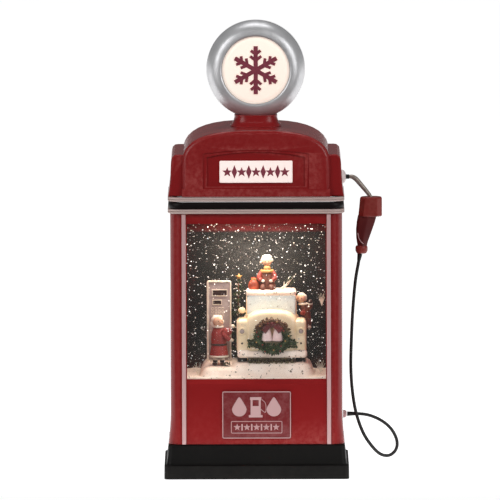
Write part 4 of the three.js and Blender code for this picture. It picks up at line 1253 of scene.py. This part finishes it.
class Figure(Casting):
    """Small doll. Its places are measured from a point under the middle of its CAD node."""

    def __init__(self, name, paint, node, rise):
        centre = middle(node)
        super().__init__(name, paint, "scene_red", [node], (centre.x, centre.y, span(node)[0].z + rise))

    def fur_ring(self, place, radius, thickness, colour="white"):
        """Soft trimming around a neck, hem or sack."""
        tube(ring_path(self.at(place), radius, 24), thickness, 10, self[colour])

    def head(self, place, radius, tilt=0.0):
        """Doll's head: ball nose and bead eyes."""
        centre = Vector(place)
        turn = Matrix.Rotation(tilt, 3, "Z")
        self.ball("skin", centre, (radius, radius * 0.95, radius), 22)
        nose = turn @ Vector((0, -radius * 0.98, -radius * 0.1))
        self.ball("skin", centre + nose, (radius * 0.2,) * 3, 10)
        for side in (-1, 1):
            eye = turn @ Vector((side * radius * 0.36, -radius * 0.88, radius * 0.16))
            self.ball("dark", centre + eye, (radius * 0.1,) * 3, 8)

    def curls(self, place, radius, count, low_share):
        """Locks of hair around the back and sides of a head."""
        for _ in range(count):
            around = rng.uniform(-0.15, math.pi + 0.15)
            lift = rng.uniform(low_share, 1)
            level = math.sqrt(max(0, 1 - lift * lift))
            out = Vector((math.cos(around) * level, math.sin(around) * level, lift))
            size = radius * rng.uniform(0.24, 0.36)
            self.ball("white", Vector(place) + out * radius * 0.95, (size, size, size * 1.2), 10)


def make_elf_left(paint):
    """Elf beside the small pump: long red dress, light hair, striped stockings, arms to the truck."""
    elf = Figure("elf_left", paint, "figure_left", -3.7)
    dress = [(0, 6), (5.6, 5.6), (6.1, 6.4), (5.9, 8.4), (5.2, 11.6), (4.9, 13.8), (5.1, 16.4), (4.8, 20.6),
             (3.9, 23.8), (2, 25.8), (0, 26.2)]
    belt = [(5.1, 13.1), (5.4, 13.3), (5.4, 14.3), (5.1, 14.5)]
    elf.turned("dress", (0.2, 0, 0), dress, 36)
    elf.turned("dark", (0.2, 0, 0), belt, 36)
    elf.fur_ring((0.2, 0, 6.2), 5.7, 0.7)
    elf.fur_ring((-0.2, -0.6, 25.4), 2.8, 0.8)
    elf.limb("dress", [(3.2, -2.6, 23.6), (5.8, -3.6, 21), (7.6, -4, 24)], 2.3, 1.8, 16)
    elf.limb("dress", [(3, -3, 21.6), (5.4, -4.6, 18.6), (7.2, -4.4, 17.2)], 2.1, 1.6, 16)
    elf.ball("white", (9, -4.2, 25.9), (1.5, 1.3, 1.3), 14)
    elf.ball("white", (8.2, -4.4, 16.9), (1.5, 1.3, 1.2), 14)
    elf.head((-0.4, -1, 28.6), 3.5, 0.5)
    elf.ball("white", (-1.2, 0.4, 29.3), (3.8, 3.4, 3.5), 22)
    elf.curls((-1, 0, 28.6), 3.7, 26, -0.7)
    for side in (-1, 1):
        elf.limb("socks", [(side * 2.4, 0, 7), (side * 2.3, -0.3, 1.4)], 1.7, 1.5, 12)
        elf.ball("dark", (side * 2.6, -1.6, 1.2), (1.6, 2.8, 1.2), 16)
    tufts([elf.at((3, -6, 1)), elf.at((7, -6, 1))], 0.8, 30, 1.8, 0.9, elf["green"])
    elf.finish()


def make_elf_top(paint):
    """Elf sitting on the cab roof in a fur-edged hood, a full sack at its side."""
    elf = Figure("elf_top", paint, "figure_top", -1.2)
    coat = [(0, 0), (5.2, 0), (5.6, 2), (5, 6), (4.3, 10), (2.8, 13), (0, 14.2)]
    sack = [(0, 0), (3.4, 0.2), (3.9, 2.2), (3.4, 4.8), (1.9, 6.3), (1.3, 7), (1.9, 7.9), (0, 8.1)]
    elf.turned("brown", (0, 0, 0), coat)
    roughen(elf.turned("sack", (-8.4, -1.5, 0), sack, 28), 0.5, 0.5)
    elf.fur_ring((-8.4, -1.5, 6.8), 1.6, 0.5, "gold")
    elf.fur_ring((0, -0.4, 12), 3.5, 1.1, "gold")
    for side in (-1, 1):
        elf.limb("red", [(side * 3.2, -1, 11.4), (side * 5.2, -3, 8), (side * 3.4, -4.6, 6)], 1.8, 1.4)
        elf.ball("white", (side * 2.6, -5, 5.9), (1.2, 1.1, 1.1))
        elf.limb("brown", [(side * 2, -3, 2), (side * 2.8, -6.6, 2), (side * 3, -8, -0.4)], 1.9, 1.3)
    elf.ball("gold", (0.2, -2.6, 13.8), (2.3, 1.6, 2), 16)
    elf.head((0, -0.6, 18.2), 3)
    elf.ball("white", (0, 0.9, 19.2), (3.4, 2.8, 3.4), 22)
    elf.curls((0, 0.2, 18.8), 3.3, 30, -0.4)
    elf.ball("white", (-4, -0.4, 17.6), (0.9, 0.8, 0.9), 10)
    elf.finish()


def make_elf_right(paint):
    """Elf leaning around the cab with a ball in its hand."""
    elf = Figure("elf_right", paint, "figure_right", 0)
    elf.limb("brown", [(-1.6, 0, 6), (-1.4, -0.4, 13), (-3.2, -0.8, 22)], 3.4, 2.8, 20)
    elf.limb("brown", [(-2.6, -1, 20), (0.6, -2.4, 19.8), (1.2, -3, 22)], 1.7, 1.3)
    elf.limb("red", [(-3, -2, 18), (-3.6, -4, 16.4), (-5, -5, 16.8)], 1.5, 1.2)
    elf.limb("brown", [(-1.6, 0, 8.4), (-0.8, -1.4, 8), (0.2, -2, 6.6)], 2.2, 1.2)
    elf.ball("white", (0.3, -2.4, 7.1), (1.6, 1.2, 1))
    elf.ball("white", (1, -3.2, 22.4), (1.6, 1.2, 1))
    elf.ball("dark", (1.1, -3.4, 23.9), (1.5, 1.5, 1.5), 20)
    elf.fur_ring((-3.6, -0.8, 22.2), 2.5, 0.8)
    elf.head((-4.9, -1, 25.7), 2.9, -0.3)
    elf.ball("white", (-4.7, 0.2, 26.6), (3.1, 2.8, 2.9), 20)
    elf.curls((-4.7, 0, 25.7), 3.1, 24, -0.4)
    elf.finish()


def make_greenery(paint):
    """Star-topped tree behind the truck, a snowy sprig on its roof and dry twigs in the snow."""
    scenery = Casting("greenery", paint, "scene_green")
    make_tree(scenery, -11.6, 8)
    roof = span("truck")[1].z - 1
    for points, start, end in (
        ([(15, -4, 0), (19.5, -5, 3.4), (23.4, -5, 8)], 0.9, 0.5),
        ([(20, -5, 4), (21.2, -5, 8.4)], 0.6, 0.3),
        ([(18, -5, 2), (18.2, -5, 5.4)], 0.5, 0.3),
    ):
        limb([(x, y, roof + z) for x, y, z in points], start, end, scenery["white"])
    tips = [Vector((20.6, -5, roof + 4.6)), Vector((23.6, -5, roof + 7.6))]
    tufts(tips, 1.2, 40, 2, 0.9, scenery["green"])
    for root, spread in (((41.4, -22, 67), 0.8), ((-38, -24, 65.6), 0.8), ((42.6, 2, 108), 0.5)):
        make_twigs(scenery, root, spread)
    scenery.finish()


TREE_TIERS = 11


def make_tree(scenery, x, y):
    """Trunk with tiers of needles and snow that narrow towards a gold star."""
    foot, top = span("snow_ground")[1].z - 1, span("mini_pump")[1].z
    limb([(x, y, foot), (x, y, top - 2)], 1, 0.3, scenery["brown"])
    for tier in range(TREE_TIERS):
        share = tier / (TREE_TIERS - 1)
        reach = 5.8 * (1 - share) + 1.3
        ring = ring_path((x, y, foot + 5 + (top - foot - 8) * share), reach * 0.6, 16)
        tufts(ring, reach * 0.5, int(46 - 26 * share), 2.6, 1.1, scenery["green"])
        tufts(ring, reach * 0.75, int(12 - 6 * share), 1.2, 0.7, scenery["snow"])
    prism_y(star_outline(x + 0.3, top + 1.2, 4.8), y - 1, y + 0.4, scenery["gold"])


def make_twigs(scenery, root, spread):
    """Little fan of pale twigs."""
    root = Vector(root)
    for number in range(7):
        lean = (number - 3) * spread
        knee = root + Vector((lean * 0.6, 0, 3))
        tip = root + Vector((lean * 1.3, -0.4, 6 + number % 3))
        limb([root, knee, tip], 0.28, 0.12, scenery["white"], sides=6)


GLITTER_FLAKES = 1500


def make_glitter():
    """Glitter afloat in the water: small six-sided plates, each turned its own way."""
    low, high = span("water_tank")
    bm = bmesh.new()
    for _ in range(GLITTER_FLAKES):
        spot = Vector((rng.uniform(-45, 45), rng.uniform(low.y + 3.5, high.y - 1),
                       rng.uniform(low.z + 4, high.z - 4)))
        tilt = Matrix.Rotation(rng.uniform(0, math.tau), 3, "X")
        turn = tilt @ Matrix.Rotation(rng.uniform(0, math.tau), 3, "Z")
        reach = 0.2 + 0.26 * rng.random() ** 1.8
        rim = [bm.verts.new(spot + turn @ Vector((c, s, 0)) * reach) for c, s in circle(6)]
        bm.faces.new(rim)
    make("glitter", bm, glitter_foil(), smooth=False)


def make_diorama():
    """The clear tank and everything in it."""
    paint = paints()
    cad_finish("water_tank", clear_tank(), 0)
    cad_finish("backdrop", backdrop_card(), 0)
    make_snow(paint)
    make_truck(paint)
    make_wreath(paint)
    make_mini_pump(paint)
    make_elf_left(paint)
    make_elf_top(paint)
    make_elf_right(paint)
    make_greenery(paint)
    make_glitter()


# ---- light and floor

def softbox(name, location, target, width, height, energy, colour=(1, 1, 1)):
    data = bpy.data.lights.new(name, "AREA")
    data.shape = "RECTANGLE"
    data.size = width
    data.size_y = height
    data.energy = energy
    data.color = colour
    lamp = bpy.data.objects.new(name, data)
    scene.collection.objects.link(lamp)
    lamp.location = location
    lamp.rotation_mode = "QUATERNION"
    lamp.rotation_quaternion = (Vector(target) - Vector(location)).to_track_quat("-Z", "Y")
    return lamp


FLOOR_FRONT, FLOOR_BACK = -130, 25000
FLOOR_REACH = 9000


def make_floor():
    """Pale paper that runs from just before the object to far behind it."""
    bm = bmesh.new()
    corners = [(-FLOOR_REACH, FLOOR_FRONT), (FLOOR_REACH, FLOOR_FRONT), (FLOOR_REACH, FLOOR_BACK),
               (-FLOOR_REACH, FLOOR_BACK)]
    bm.faces.new([bm.verts.new((x, y, -0.3)) for x, y in corners])
    m = Nodes("floor_paper")
    paper = m.ramp(m.noise(3, 3), [(0.3, (0.9, 0.9, 0.9)), (0.7, (0.94, 0.94, 0.94))])
    m.link(paper, m.shader.inputs["Base Color"])
    m.set(Roughness=0.8, Specular_IOR_Level=0.1, Emission_Color=(1, 1, 1, 1), Emission_Strength=0.85)
    floor = make("floor", bm, m.material, body=None)


WORLD_LIGHT = 0.16  # strength of the white world as a light; the camera sees it at full strength


def make_world():
    """White to the eye, and dimmer as a light."""
    world = bpy.data.worlds.new("studio")
    scene.world = world
    world.use_nodes = True
    tree = world.node_tree
    background = tree.nodes["Background"]
    path = tree.nodes.new("ShaderNodeLightPath")
    strength = tree.nodes.new("ShaderNodeMapRange")
    tree.links.new(path.outputs["Is Camera Ray"], strength.inputs["Value"])
    strength.inputs["To Min"].default_value = WORLD_LIGHT
    strength.inputs["To Max"].default_value = 1.0
    tree.links.new(strength.outputs["Result"], background.inputs["Strength"])
    background.inputs["Color"].default_value = (1, 1, 1, 1)


def make_lights():
    """Two large side lights, one above, one in front that leaves no reflection, and the tank's lamp."""
    target = (0, 0, 0.16)
    for name, side in (("softbox_left", -1), ("softbox_right", 1)):
        softbox(name, (side * 1.15, -1.25, 0.75), target, 0.8, 1.2, 8.6)
    softbox("softbox_top", (0, 0.3, 1.7), target, 0.9, 0.7, 5.5)
    softbox("softbox_front", (0, -1.3, 1.25), (0, 0, 0.25), 0.5, 0.3, 6.5).visible_glossy = False
    lamp_place = Vector((0, -10, span("water_tank")[1].z - 3.2)) * MM
    below = lamp_place + Vector((0, -0.004, -0.1))
    softbox("tank_lamp", lamp_place, below, 0.08, 0.035, 0.125, (1, 0.87, 0.73))
    scene.view_settings.view_transform = "Standard"


# ---- the lantern

make_camera()
hose_rubber = rubber("hose_rubber")
make_hose(hose_rubber)
red = moulded("red_plastic")
finish_housing(red)
finish_works()
silver = silver_paint("trim_silver")
trim_front(silver)
make_belts()
make_plaque(silver)
make_sign()
make_neck(red)
make_globe()
make_nozzle(moulded("nozzle_plastic"), silver, hose_rubber)
make_diorama()
make_floor()
make_world()
make_lights()
